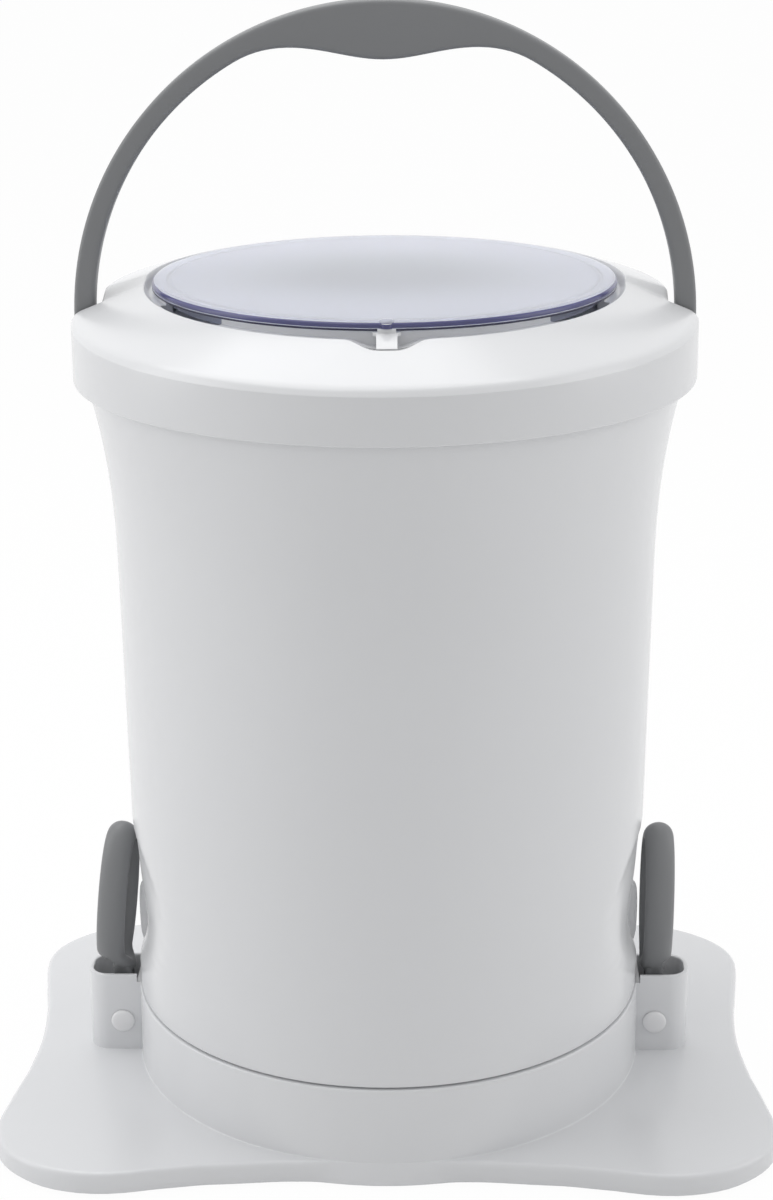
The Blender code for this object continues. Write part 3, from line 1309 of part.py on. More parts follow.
def basket_hub(look, body):
    outer = HUB_RADIUS + HUB_WALL
    flange_top = HUB_BOTTOM + HUB_FLANGE_THICKNESS
    profile = [
        (HUB_RADIUS, HUB_BOTTOM),
        (HUB_FLANGE_RADIUS, HUB_BOTTOM),
        (HUB_FLANGE_RADIUS, flange_top),
        (outer, flange_top),
        (outer, HUB_TOP),
        (TOOTH_INNER_RADIUS, HUB_TOP),
        (TOOTH_INNER_RADIUS, HUB_TOP - HUB_CEILING),
        (HUB_RADIUS, HUB_TOP - HUB_CEILING),
    ]
    hub = turned("basket_hub", profile, look["acetal"], body)
    for number, (x, y) in enumerate(screw_places(HUB_SCREW_CIRCLE, HUB_SCREW_COUNT)):
        start = (x, y, HUB_BOTTOM - OVERRUN)
        depth = HUB_FLANGE_THICKNESS + 2 * OVERRUN
        hole = rod(f"hub_hole_{number}", HUB_SCREW_RADIUS + SEAT_GAP, start, depth, (0, 0, 1),
                   sides=SCREW_HEAD_SIDES)
        boolean(hub, hole, "DIFFERENCE")


def basket_radius(height):
    share = (height - BASKET_FLOOR_Z) / (BASKET_TOP - BASKET_FLOOR_Z)
    return BASKET_BOTTOM_RADIUS + (BASKET_TOP_RADIUS - BASKET_BOTTOM_RADIUS) * share


def basket_stations():
    """Pairs of points on the wet and the dry side, from the floor's hole to the rim, and the slotted rows."""
    corner = BASKET_CORNER
    wall = BASKET_WALL
    wet_edge = BASKET_BOTTOM_RADIUS - wall
    stations = []
    for radius in (BASKET_FLOOR_HOLE, BASKET_DRAIN_START, BASKET_DRAIN_END):
        stations.append(((radius, BASKET_FLOOR_TOP), (radius, BASKET_FLOOR_Z)))
    dry_edge = BASKET_BOTTOM_RADIUS - corner * 0.8
    stations.append(((wet_edge - corner * 0.6, BASKET_FLOOR_TOP), (dry_edge, BASKET_FLOOR_Z)))
    level = BASKET_FLOOR_TOP + corner * 0.6
    stations.append(((wet_edge, level), (BASKET_BOTTOM_RADIUS, level - wall)))
    open_rows = {1}
    for row in range(BASKET_SLOT_ROWS):
        low = BASKET_SLOT_FIRST_Z + row * (BASKET_SLOT_HEIGHT + BASKET_BAND_HEIGHT)
        open_rows.add(len(stations))
        for level in (low, low + BASKET_SLOT_HEIGHT):
            stations.append(((basket_radius(level) - wall, level), (basket_radius(level), level)))
    level = BASKET_TOP - BASKET_RIM_HEIGHT
    stations.append(((basket_radius(level) - wall, level), (basket_radius(level), level)))
    reach = BASKET_TOP_RADIUS + BASKET_RIM_REACH
    stations.append(((basket_radius(level) - wall / 2, BASKET_TOP), (reach, level + wall)))
    stations.append(((BASKET_TOP_RADIUS, BASKET_TOP), (reach, BASKET_TOP)))
    return stations, open_rows


def spin_basket(look, body):
    """One sheet of even thickness, laid out in cells, with the slots left out of it."""
    stations, open_rows = basket_stations()
    azimuths = []
    for slot in range(BASKET_SLOT_COUNT):
        middle = TURN * slot / BASKET_SLOT_COUNT
        azimuths += [middle - BASKET_SLOT_HALF_ANGLE, middle + BASKET_SLOT_HALF_ANGLE]
    columns = len(azimuths)
    points = []
    for wet, dry in stations:
        for radius, height in (wet, dry):
            points += [(radius * math.cos(a), radius * math.sin(a), height) for a in azimuths]

    def number(station, side, column):
        return (2 * station + side) * columns + column % columns

    def is_open(row, column):
        return row in open_rows and column % 2 == 0 and 0 <= row < len(stations) - 1

    faces = []
    rows = len(stations) - 1
    for row in range(rows):
        for column in range(columns):
            if is_open(row, column):
                continue
            for side in (0, 1):
                faces.append((number(row, side, column), number(row, side, column + 1),
                              number(row + 1, side, column + 1), number(row + 1, side, column)))
            edges = (
                (row == 0 or is_open(row - 1, column), (row, column), (row, column + 1)),
                (row == rows - 1 or is_open(row + 1, column), (row + 1, column), (row + 1, column + 1)),
                (is_open(row, column - 1), (row, column), (row + 1, column)),
                (is_open(row, column + 1), (row, column + 1), (row + 1, column + 1)),
            )
            for bare, first, second in edges:
                if bare:
                    faces.append((number(first[0], 0, first[1]), number(second[0], 0, second[1]),
                                  number(second[0], 1, second[1]), number(first[0], 1, first[1])))
    basket = mesh_object("spin_basket", points, faces, look["body"], body)
    for index, (x, y) in enumerate(screw_places(HUB_SCREW_CIRCLE, HUB_SCREW_COUNT)):
        start = (x, y, BASKET_FLOOR_Z - OVERRUN)
        hole = rod(f"basket_hole_{index}", HUB_SCREW_RADIUS + SEAT_GAP, start, BASKET_FLOOR_WALL + 2 * OVERRUN,
                   (0, 0, 1), sides=SCREW_HEAD_SIDES)
        boolean(basket, hole, "DIFFERENCE")


def centre_cone(look, body):
    """A hollow cone over the hub and the screw, curving in as it rises."""
    foot_z = BASKET_FLOOR_TOP + SEAT_GAP
    outer = [
        (CONE_FOOT_RADIUS, foot_z),
        (CONE_FOOT_RADIUS, foot_z + CONE_WALL),
        (CONE_SHOULDER_RADIUS + CONE_WALL / 2, foot_z + CONE_WALL),
    ]
    inner = [(CONE_SHOULDER_RADIUS - CONE_WALL, foot_z)]
    for step in range(CONE_STEPS + 1):
        rise = step / CONE_STEPS
        height = CONE_SHOULDER_Z + (CONE_TOP - CONE_SHOULDER_Z) * rise
        waist = CONE_WAIST_SHARE * rise * (1 - rise) * 2
        radius = CONE_SHOULDER_RADIUS + (CONE_TOP_RADIUS - CONE_SHOULDER_RADIUS) * (rise + waist)
        outer.append((radius, height))
        inner.append((radius - CONE_WALL, height))
    shell = turned("centre_cone", outer + list(reversed(inner)), look["body"], body)
    seat = foot_z + CONE_WALL + SEAT_GAP
    for index, (x, y) in enumerate(screw_places(HUB_SCREW_CIRCLE, HUB_SCREW_COUNT)):
        start = (x, y, foot_z - OVERRUN)
        hole = rod(f"cone_hole_{index}", HUB_SCREW_RADIUS + SEAT_GAP, start, CONE_WALL + 2 * OVERRUN, (0, 0, 1),
                   sides=SCREW_HEAD_SIDES)
        boolean(shell, hole, "DIFFERENCE")
        round_head_screw(f"hub_screw_{index + 1}", x, y, seat, HUB_BOTTOM + SEAT_GAP, HUB_SCREW_RADIUS,
                         HUB_SCREW_HEAD_RADIUS, HUB_SCREW_HEAD_HEIGHT, look, body)
    cap_seat = CONE_TOP + SEAT_GAP
    plug = CONE_TOP_RADIUS - CONE_WALL - SEAT_GAP
    cap = [
        (0, cap_seat - CAP_PLUG_DEPTH),
        (plug, cap_seat - CAP_PLUG_DEPTH),
        (plug, cap_seat),
        (CAP_RADIUS, cap_seat),
        (CAP_RADIUS * 0.92, cap_seat + CAP_HEIGHT * 0.5),
        (CAP_RADIUS * 0.6, cap_seat + CAP_HEIGHT * 0.87),
        (0, cap_seat + CAP_HEIGHT),
    ]
    turned("cone_cap", cap, look["grey"], body)


def build():
    clear_scene()
    look = finishes()
    base = body_empty("base")
    tub = body_empty("tub", parent=base)
    nut = body_empty("nut", (0, 0, NUT_Z), tub)
    basket = body_empty("basket", (0, 0, HUB_BOTTOM), tub)
    lid_body = body_empty("lid_body", (0, 0, LID_RIM_Z), tub)
    handle = body_empty("handle", (0, 0, HANDLE_PIVOT_Z), tub)
    plug = body_empty("plug", (0, tub_radius(DRAIN_HEIGHT), DRAIN_HEIGHT), tub)
    base_plate(look, base)
    foot_pads(look, base)
    latch_pins(look, base)
    guide_column(look, base)
    column_screws(look, base)
    drive_screw(look, base)
    for side, word in ((-1, "left"), (1, "right")):
        latch = body_empty(f"latch_{word}", (side * LATCH_PIN_X, 0, LATCH_PIN_Z), base)
        latch_ring(word, side, look, latch)
    outer_tub(look, tub)
    sleeve_bush(look, tub)
    bearing(look, tub)
    top_ring(look, tub)
    handle_pins(look, tub)
    drain_plug(look, plug)
    drive_nut(look, nut)
    basket_hub(look, basket)
    spin_basket(look, basket)
    clutch_crown(look, basket)
    centre_cone(look, basket)
    lid(look, lid_body)
    lid_clips(look, lid_body)
    handle_bail(look, handle)


build()
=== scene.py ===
# %% [markdown]
# # A manual spin dryer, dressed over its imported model
#
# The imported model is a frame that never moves: bodies, joints and plain solids. This lesson puts a finer skin over
# those solids, piece by piece, so that the dryer looks like the real one and still moves on the same joints.
# Every cell makes one piece or one finish and prints what it made. Sizes are in millimetres until a mesh is built.

# %% Load the frame
import math
from math import cos, radians, sin

import bmesh
import bpy
from mathutils import Matrix, Vector


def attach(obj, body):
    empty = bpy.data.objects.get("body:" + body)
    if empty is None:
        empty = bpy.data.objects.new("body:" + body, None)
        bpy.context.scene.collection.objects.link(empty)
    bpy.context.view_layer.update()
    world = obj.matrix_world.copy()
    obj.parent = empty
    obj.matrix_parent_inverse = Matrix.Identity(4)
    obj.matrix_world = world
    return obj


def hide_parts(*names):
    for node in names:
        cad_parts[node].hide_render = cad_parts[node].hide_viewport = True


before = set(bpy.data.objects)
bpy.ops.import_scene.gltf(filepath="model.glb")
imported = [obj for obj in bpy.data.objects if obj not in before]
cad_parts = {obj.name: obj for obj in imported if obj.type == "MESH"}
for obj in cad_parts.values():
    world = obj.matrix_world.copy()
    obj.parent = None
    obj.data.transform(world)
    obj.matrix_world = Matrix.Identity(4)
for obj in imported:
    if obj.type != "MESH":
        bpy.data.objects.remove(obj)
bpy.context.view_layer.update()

# %% [markdown]
# ## The camera
#
# A photograph fixes where its camera stood. Here the rims of the tub, the ring and the plate are circles and curves
# of known size, so their ellipses in the picture give the distance, the height and the tilt. The camera comes first,
# because everything after it is judged through it. In the photograph the foot plate is turned 1.8 degrees one way and
# the tub on it about 0.5 degrees the other way. Here the dryer stands square in its frame, so the camera takes a
# turn in between.

# %% Place the camera
EYE = Vector((0.0202, -1.1547, 0.6165))
TILT_DOWN = radians(17.97)
TURN_LEFT = radians(1.0)
ROLL = radians(-0.32)
SENSOR, FOCAL_PIXELS, PICTURE_HEIGHT = 36, 2567, 1200

lens = bpy.data.cameras.new("studio_camera")
lens.sensor_width = SENSOR
lens.lens = SENSOR * FOCAL_PIXELS / PICTURE_HEIGHT
camera = bpy.data.objects.new("studio_camera", lens)
bpy.context.scene.collection.objects.link(camera)
camera.matrix_world = (
    Matrix.Translation(EYE)
    @ Matrix.Rotation(TURN_LEFT, 4, "Z")
    @ Matrix.Rotation(radians(90) - TILT_DOWN, 4, "X")
    @ Matrix.Rotation(ROLL, 4, "Z")
)
bpy.context.scene.camera = camera
print(f"camera {EYE.length:.3f} m from the origin, lens {lens.lens:.1f} mm")

# %% [markdown]
# ## A few small helpers for meshes
#
# Nearly all of the dryer is moulded plastic: walls of even thickness with soft edges. A modeller could bevel each
# edge by hand, but a section with its fillets already in it is easier to change. So `rounded` turns a few corners,
# each with its own fillet, into a smooth run of points, and `skin` joins many such sections into one closed mesh.
# `upright` stands a section up at one angle about Z, and a round piece is the same section at every angle, which is
# what `turned` does. `carve` adds or cuts with a Boolean, and `settle` keeps the result, so that no modifier is left
# on the piece.

# %% Sections and skins
MM = 0.001


def rounded(corners, steps=4, loop=True):
    """Corners are (across, up, fillet). Each fillet is a short curve between its two sides."""
    run = []
    count = len(corners)
    for i, (x, y, fillet) in enumerate(corners):
        here = Vector((x, y))
        if not fillet or (not loop and i in (0, count - 1)):
            run.append(here)
            continue
        before = Vector(corners[i - 1][:2]) - here
        after = Vector(corners[(i + 1) % count][:2]) - here
        start = here + before * min(fillet / max(before.length, 1e-9), 0.49)
        end = here + after * min(fillet / max(after.length, 1e-9), 0.49)
        for step in range(steps + 1):
            t = step / steps
            run.append(start * (1 - t) ** 2 + here * 2 * t * (1 - t) + end * t ** 2)
    return run


def to_piece(name, shell, sharp=38):
    """Makes a piece of loose faces, shaded smooth but for edges sharper than this angle."""
    bmesh.ops.recalc_face_normals(shell, faces=shell.faces)
    mesh = bpy.data.meshes.new(name)
    shell.to_mesh(mesh)
    shell.free()
    mesh.shade_smooth()
    mesh.set_sharp_from_angle(angle=radians(sharp))
    piece = bpy.data.objects.new(name, mesh)
    bpy.context.scene.collection.objects.link(piece)
    return piece


def skin(name, sections, ring=True, loop=True, sharp=38):
    """Joins sections of equally many points into one mesh. A ring meets itself, anything else gets end caps."""
    shell = bmesh.new()
    rows = [[shell.verts.new(Vector(point) * MM) for point in section] for section in sections]
    for near, far in zip(rows, rows[1:] + rows[:1] if ring else rows[1:]):
        for i in range(len(near) if loop else len(near) - 1):
            j = (i + 1) % len(near)
            shell.faces.new((near[i], near[j], far[j], far[i]))
    if not ring:
        shell.faces.new(rows[0])
        shell.faces.new(rows[-1])
    bmesh.ops.remove_doubles(shell, verts=shell.verts, dist=1e-6)
    return to_piece(name, shell, sharp)


def angles(count):
    return [math.tau * i / count for i in range(count)]


def upright(angle, run):
    """Stands a section of (radius, height) points up at this angle about Z."""
    c, s = cos(angle), sin(angle)
    return [Vector((r * c, r * s, z)) for r, z in run]


def turned(name, run, columns=96, place=Matrix(), loop=True):
    """One section at every angle about Z, then put in its place (which is in millimetres too)."""
    sections = [[place @ spot for spot in upright(angle, run)] for angle in angles(columns)]
    return skin(name, sections, loop=loop)


def settle(piece):
    """Keeps what the modifiers make as the piece's own mesh."""
    bpy.context.view_layer.update()
    made = bpy.data.meshes.new_from_object(piece.evaluated_get(bpy.context.evaluated_depsgraph_get()))
    piece.modifiers.clear()
    piece.data = made


def carve(piece, tool, operation="DIFFERENCE", sharp=38):
    """Cuts with the tool, or joins it with UNION."""
    change = piece.modifiers.new("carve", "BOOLEAN")
    change.operation, change.object, change.solver = operation, tool, "EXACT"
    settle(piece)
    piece.data.shade_smooth()
    piece.data.set_sharp_from_angle(angle=radians(sharp))
    bpy.data.objects.remove(tool)


print("helpers ready")

# %% [markdown]
# ## Putting a piece to work
#
# A new piece has to do two things besides looking right. It rides on the body that carries it, and it stands in for
# the plain CAD solid, which is hidden. One helper does both, and gives the piece its finish if it has none yet, so no
# piece is left hanging in the air when a joint moves. A CAD solid that is fine as it is keeps its mesh and only gets
# a better finish, with `repaint`.

# %% Dress and repaint
def dress(piece, body, finish, slot, *nodes):
    if not piece.data.materials:
        piece.data.materials.append(finish)
    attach(piece, body)
    if nodes:
        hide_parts(*nodes)
    print(f"{piece.name}: {len(piece.data.polygons)} faces, rides on {body}")


def repaint(finish, *nodes):
    for node in nodes:
        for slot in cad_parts[node].material_slots:
            slot.material = finish
    print(finish.name, "on", ", ".join(nodes))


# %% [markdown]
# ## Finishes: moulded plastic
#
# The body is injection-moulded, glossy white plastic. In the photograph it is never one flat tone: large faces drift
# a little, and the highlights have soft, slightly uneven edges, because the mould's polish is not perfect. An image
# could hold that, but noise textures need no unwrapping and work at any distance. Three of them are used: a broad
# one shifts the colour, a middle one the roughness, and a fine one lifts the surface by a few hundredths of a
# millimetre. The same recipe, with other numbers, gives the satin grey of the handle.

# %% Plastics
PLASTIC_IOR = 1.49


def add(tree, kind, **inputs):
    """A new node with some of its inputs set. An underscore stands for the space in an input's name."""
    made = tree.nodes.new("ShaderNode" + kind)
    for name, value in inputs.items():
        made.inputs[name.replace("_", " ")].default_value = value
    return made


def blank(name):
    """A new material, its node tree, its shader and the place that textures are laid in."""
    material = bpy.data.materials.new(name)
    material.use_nodes = True
    tree = material.node_tree
    print("finish", name)
    return material, tree, tree.nodes["Principled BSDF"], add(tree, "TexCoord").outputs["Object"]


def noise(tree, place, scale, detail):
    texture = add(tree, "TexNoise", Scale=scale, Detail=detail)
    tree.links.new(place, texture.inputs["Vector"])
    return texture.outputs["Fac"]


def spread(tree, source, low, high):
    """Maps a noise's middle range onto low to high."""
    change = add(tree, "MapRange", From_Min=0.3, From_Max=0.7, To_Min=low, To_Max=high)
    tree.links.new(source, change.inputs["Value"])
    return change.outputs["Result"]


def drift(tree, source, first, second):
    """A colour that wanders between two near tones."""
    mix = add(tree, "Mix")
    mix.data_type = "RGBA"
    mix.inputs["A"].default_value = (*first, 1)
    mix.inputs["B"].default_value = (*second, 1)
    tree.links.new(source, mix.inputs["Factor"])
    return mix.outputs["Result"]


def emboss(tree, shader, source, strength, lift):
    """Lifts the surface with a texture, by so many millimetres."""
    bump = add(tree, "Bump", Strength=strength, Distance=lift * MM)
    tree.links.new(source, bump.inputs["Height"])
    tree.links.new(bump.outputs["Normal"], shader.inputs["Normal"])


def moulded(name, colour, second, roughness, grain=900, lift=0.02):
    """Moulded plastic: colour drift, roughness drift and a fine grain."""
    material, tree, shader, place = blank(name)
    broad = noise(tree, place, scale=11, detail=2)
    middle = noise(tree, place, scale=70, detail=3)
    fine = noise(tree, place, scale=grain, detail=2)
    tree.links.new(drift(tree, broad, colour, second), shader.inputs["Base Color"])
    rough = spread(tree, middle, roughness - 0.03, roughness + 0.03)
    tree.links.new(rough, shader.inputs["Roughness"])
    emboss(tree, shader, fine, 0.35, lift)
    shader.inputs["IOR"].default_value = PLASTIC_IOR
    return material


white_shell = moulded("white_shell_plastic", (0.715, 0.722, 0.737), (0.70, 0.707, 0.722), 0.22)
grey_satin = moulded("grey_satin_plastic", (0.203, 0.208, 0.214), (0.192, 0.196, 0.202), 0.44, grain=1500, lift=0.05)
pin_white = moulded("pin_acetal", (0.80, 0.80, 0.81), (0.78, 0.78, 0.79), 0.30, grain=1200)
slide_white = moulded("slide_acetal", (0.74, 0.74, 0.715), (0.71, 0.71, 0.69), 0.38, grain=1200)
pad_rubber = moulded("pad_rubber", (0.036, 0.036, 0.038), (0.030, 0.030, 0.032), 0.78, grain=2200, lift=0.09)

# %% [markdown]
# ## Finishes: bright steel
#
# Pins, screws, washers and the drive screw are turned or drawn steel, so their fine marks run round or along the
# piece. Stretching a noise texture along one axis gives such marks, and the roughness follows them too.

# %% Steel
def drawn_steel(name):
    material, tree, shader, place = blank(name)
    shader.inputs["Metallic"].default_value = 1.0
    stretch = add(tree, "Mapping", Scale=(1, 1, 14))
    tree.links.new(place, stretch.inputs["Vector"])
    marks = noise(tree, stretch.outputs["Vector"], scale=260, detail=2)
    tone = drift(tree, marks, (0.60, 0.60, 0.61), (0.68, 0.68, 0.68))
    tree.links.new(tone, shader.inputs["Base Color"])
    tree.links.new(spread(tree, marks, 0.22, 0.36), shader.inputs["Roughness"])
    emboss(tree, shader, marks, 0.25, 0.02)
    return material


bright_steel = drawn_steel("bright_steel")

# %% [markdown]
# ## The foot plate's outline
#
# The user stands on the plate, so it spreads into four lobes for the feet and draws in between them. The outline is a
# smooth curve through a few points of one quarter, mirrored twice. Seen from the middle, each direction meets it
# once, so it can be kept as a radius for every angle, and the plate can be skinned like a round piece whose outer
# radius changes.

# %% Lobed outline
PLATE_HALF_LENGTH, PLATE_HALF_WIDTH = 183.0, 133.2
QUARTER_SHARES = (
    (0.951, 0), (0.962, 0.25), (0.985, 0.47), (0.997, 0.60), (0.998, 0.68), (0.984, 0.76), (0.954, 0.833),
    (0.911, 0.895), (0.855, 0.95), (0.79, 0.983), (0.72, 0.997), (0.65, 0.99), (0.56, 0.963), (0.43, 0.934),
    (0.23, 0.912), (0, 0.908),
)


def lobe_points():
    quarter = [(x * PLATE_HALF_LENGTH, y * PLATE_HALF_WIDTH) for x, y in QUARTER_SHARES]
    polar = [(math.atan2(y, x), math.hypot(x, y)) for x, y in quarter]
    half = polar + [(math.pi - a, r) for a, r in reversed(polar[:-1])]
    return half[:-1] + [(a + math.pi, r) for a, r in half[:-1]]


LOBES = lobe_points()


def lobe_radius(angle):
    """A smooth curve through the points on either side of this angle."""
    angle %= math.tau
    last = max(i for i, (a, r) in enumerate(LOBES) if a <= angle + 1e-9)
    around = [LOBES[(last + k) % len(LOBES)] for k in (-1, 0, 1, 2)]
    knots = [a + math.tau * ((last + k) // len(LOBES)) for k, (a, r) in zip((-1, 0, 1, 2), around)]
    r = [radius for a, radius in around]
    span = knots[2] - knots[1]
    t = (angle - knots[1]) / span
    rise = [(r[i + 1] - r[i - 1]) / (knots[i + 1] - knots[i - 1]) * span for i in (1, 2)]
    blend = (2 * t ** 3 - 3 * t ** 2 + 1, t ** 3 - 2 * t ** 2 + t, 3 * t ** 2 - 2 * t ** 3, t ** 3 - t ** 2)
    return blend[0] * r[1] + blend[1] * rise[0] + blend[2] * r[2] + blend[3] * rise[1]


print("widest", round(max(lobe_radius(a) for a in angles(360)), 1), "narrowest", round(lobe_radius(math.pi / 2), 1))

# %% [markdown]
# ## The foot plate, its collar and its pockets
#
# On the real dryer these are one moulding: a shallow tray turned upside down, a collar that the tub comes down on,
# and a U-shaped pocket left and right that holds each latch. Plate and collar are one section, from the screw hole in
# the middle to the rim. The collar's wall meets the deck in a crisp line, and the rim has a small round that catches
# a thin highlight. At the front and the back the outline would run inside the collar. There the rim follows the
# collar instead, so the deck ends in a point and the wall runs down to the floor with a slight sweep.

# %% Plate and collar
COLLAR_RADIUS, COLLAR_INSIDE, COLLAR_TOP = 122.5, 119.5, 48.9
LIP_RADIUS, LIP_TOP = 118.4, 54.9
RIM_BOTTOM, DECK, PLATE_WALL = 1.6, 12.0, 2.5
NUT_HOLE = 5.4


def rim_radius(angle, foot, blend):
    """The lobed outline, but never inside the collar's foot, with a short blend between the two."""
    lobed = lobe_radius(angle)
    over = 0.5 * (lobed + foot + math.sqrt((lobed - foot) ** 2 + blend ** 2))
    return min(over, PLATE_HALF_LENGTH / max(abs(cos(angle)), 1e-9))


def plate_section(angle):
    deck_edge = rim_radius(angle, COLLAR_RADIUS + 0.3, 0.5)
    rim = rim_radius(angle, COLLAR_RADIUS + 2.6, 1.2)
    corners = [
        (NUT_HOLE, DECK - PLATE_WALL, 0), (NUT_HOLE, DECK, 0), (COLLAR_INSIDE, DECK, 1.5), (COLLAR_INSIDE, 38, 1),
        (LIP_RADIUS - 2.3, 41, 1), (LIP_RADIUS - 2.3, LIP_TOP, 0.5), (LIP_RADIUS, LIP_TOP, 0.5),
        (LIP_RADIUS, COLLAR_TOP, 0.3), (COLLAR_RADIUS, COLLAR_TOP, 1.0), (COLLAR_RADIUS + 0.2, DECK, 0.8),
        (deck_edge, DECK, 3.2), (rim, RIM_BOTTOM, 0.8), (rim - PLATE_WALL, RIM_BOTTOM, 0.8),
        (rim - PLATE_WALL, DECK - PLATE_WALL, 2),
    ]
    return rounded(corners, 6)


foot_plate = skin("foot_plate", [upright(angle, plate_section(angle)) for angle in angles(240)])
print("plate skinned with", len(foot_plate.data.polygons), "faces")

# %% [markdown]
# The pockets are walls of the same moulding. Each is a solid U with a hollow cut out of it, and the edge of the rim
# is drawn in over the last half millimetre so that it catches the light. A notch keeps the U clear of the tub where
# it meets the collar, and the hole for the latch pin goes through both walls.

# %% Latch pockets
POCKET_HALF, POCKET_REACH, POCKET_CORNER = 12.8, 148.0, 10.0
POCKET_START, HOLLOW_START = 120.9, 123.7
POCKET_OUTSIDE = ((11.4, 0), (51.5, 0), (52.0, 0.15), (52.2, 0.55))
POCKET_INSIDE = ((12.6, 3.2), (13.4, 2.4), (15, 2.2), (51.5, 2.2), (52.0, 2.0), (52.3, 1.5), (54, 0.9))
PIN_X, PIN_Z = 131.2, 27.5


def pocket_outline(side, start, margin):
    half, reach, radius = POCKET_HALF - margin, POCKET_REACH - margin, POCKET_CORNER - margin
    points = [(start, half), (start, -half)]
    for end in (-1, 1):
        for step in range(9):
            turn = radians(90) * step / 8
            turn = turn if end > 0 else radians(90) - turn
            points.append((reach - radius * (1 - cos(turn)), end * (half - radius * (1 - sin(turn)))))
    return [(side * x, y) for x, y in points]


def pocket_stack(name, side, start, levels):
    """Levels are (height, how far the outline is drawn in there)."""
    sections = [[(x, y, z) for x, y in pocket_outline(side, start, margin)] for z, margin in levels]
    return skin(name, sections, ring=False)


def peg(name, radius, start, length, axis, sides=32):
    """A plain round tool, for holes and bosses."""
    place = Matrix.Translation(start) @ Vector(axis).to_track_quat("Z", "Y").to_matrix().to_4x4()
    return turned(name, [(0, 0), (radius, 0), (radius, length), (0, length)], sides, place, loop=False)


def slab(name, low, high):
    """A box between two corners, for notches and ribs."""
    corners = [(low[0], low[1]), (high[0], low[1]), (high[0], high[1]), (low[0], high[1])]
    return skin(name, [[(x, y, z) for x, y in corners] for z in (low[2], high[2])], ring=False)


for side in (-1, 1):
    wall = pocket_stack("pocket_wall", side, POCKET_START, POCKET_OUTSIDE)
    near, far = sorted((side * 117, side * HOLLOW_START))
    carve(wall, slab("pocket_notch", (near, -22, 48.4), (far, 22, 56)))
    carve(foot_plate, wall, "UNION")
    carve(foot_plate, pocket_stack("pocket_hollow", side, HOLLOW_START, POCKET_INSIDE))
    carve(foot_plate, peg("pin_hole", 3.0, (side * PIN_X, -20, PIN_Z), 40, (0, 1, 0)))
print("pockets joined:", len(foot_plate.data.polygons), "faces")

# %% [markdown]
# Turned over, such a plate shows ribs that keep it from bending under a standing person. They run from a hub round
# the screw's nut to the four feet, the sides and the collar. Four bosses carry the rubber pads.

# %% Ribs and bosses under the plate
FOOT_ALONG, FOOT_ACROSS = 0.86 * PLATE_HALF_LENGTH, 0.78 * PLATE_HALF_WIDTH
FEET = [(x * FOOT_ALONG, y * FOOT_ACROSS) for y in (-1, 1) for x in (-1, 1)]
HUB_INSIDE, HUB_OUTSIDE, SIDE_REACH, COLLAR_REACH = 44, 47, 172.8, 121


def ring_wall(name, inner, outer, bottom, top):
    return turned(name, [(outer, bottom), (outer, top), (inner, top), (inner, bottom)], 96)


def rib(reach, angle):
    """A thin wall from the hub ring outwards, a little wider at its root."""
    along = Vector((cos(angle), sin(angle), 0))
    across = Vector((-along.y, along.x, 0))
    sections = []
    for z, half in ((4.3, 0.7), (10.2, 1.1)):
        spots = ((HUB_OUTSIDE - 1, half), (HUB_OUTSIDE - 1, -half), (reach, -half), (reach, half))
        sections.append([along * r + across * w + Vector((0, 0, z)) for r, w in spots])
    return skin("rib", sections, ring=False)


carve(foot_plate, ring_wall("collar_root", COLLAR_INSIDE, 122.6, 2.1, 11), "UNION")
reaches = [(Vector(place).length, math.atan2(place[1], place[0])) for place in FEET]
reaches += [(SIDE_REACH, 0), (SIDE_REACH, math.pi), (COLLAR_REACH, math.pi / 2), (COLLAR_REACH, -math.pi / 2)]
for reach, angle in reaches:
    carve(foot_plate, rib(reach, angle), "UNION")
carve(foot_plate, ring_wall("hub_ring", HUB_INSIDE, HUB_OUTSIDE, 3.8, 10.3), "UNION")
for x, y in FEET:
    carve(foot_plate, peg("foot_boss", 9, (x, y, 3.3), 7, (0, 0, 1)), "UNION")
dress(foot_plate, "base", white_shell, "body", "base_plate")

# %% [markdown]
# ## Rubber feet, latch pins and the guide column
#
# The pads have a groove round them, as pads that are pressed from rubber have. Each latch pin shows one broad,
# slightly domed head on the front of its pocket. The guide column stands inside the tub and comes into view when the
# tub is pumped up.

# %% Small turned pieces on the base
pad = [(0, 0), (9.6, 0), (10.7, 0.3), (11, 1.0), (10.4, 1.5), (11, 2.0), (10.8, 2.8), (10.2, 3.0), (0, 3.0)]
for word, (x, y) in zip(("front_left", "front_right", "back_left", "back_right"), FEET):
    made = turned(f"rubber_foot_{word}", pad, 48, Matrix.Translation((x, y, 0)), loop=False)
    dress(made, "base", pad_rubber, "rubber", f"foot_pad_{word}")

LYING = Matrix.Rotation(radians(-90), 4, "X")
pin = rounded([(0, -15.0, 0), (3.2, -14.9, 2), (5.4, -14.3, 1.2), (5.75, -13.4, 0.4), (5.75, -13.1, 0),
               (2.7, -13.1, 0.3), (2.7, 13.1, 0.3), (3.8, 13.1, 0.2), (2.7, 14.9, 0.3), (0, 14.9, 0)], loop=False)
for side, word in ((-1, "left"), (1, "right")):
    place = Matrix.Translation((side * PIN_X, 0, PIN_Z)) @ LYING
    made = turned(f"latch_pivot_{word}", pin, 48, place, loop=False)
    dress(made, "base", pin_white, "acetal", f"latch_pin_{word}")


def screw_holes(piece, count, circle, radius, bottom, length, sides=32):
    """Cuts a circle of holes, the first one at 45 degrees."""
    for k in range(count):
        turn = radians(45 + 360 / count * k)
        start = (circle * cos(turn), circle * sin(turn), bottom)
        carve(piece, peg("screw_hole", radius, start, length, (0, 0, 1), sides))


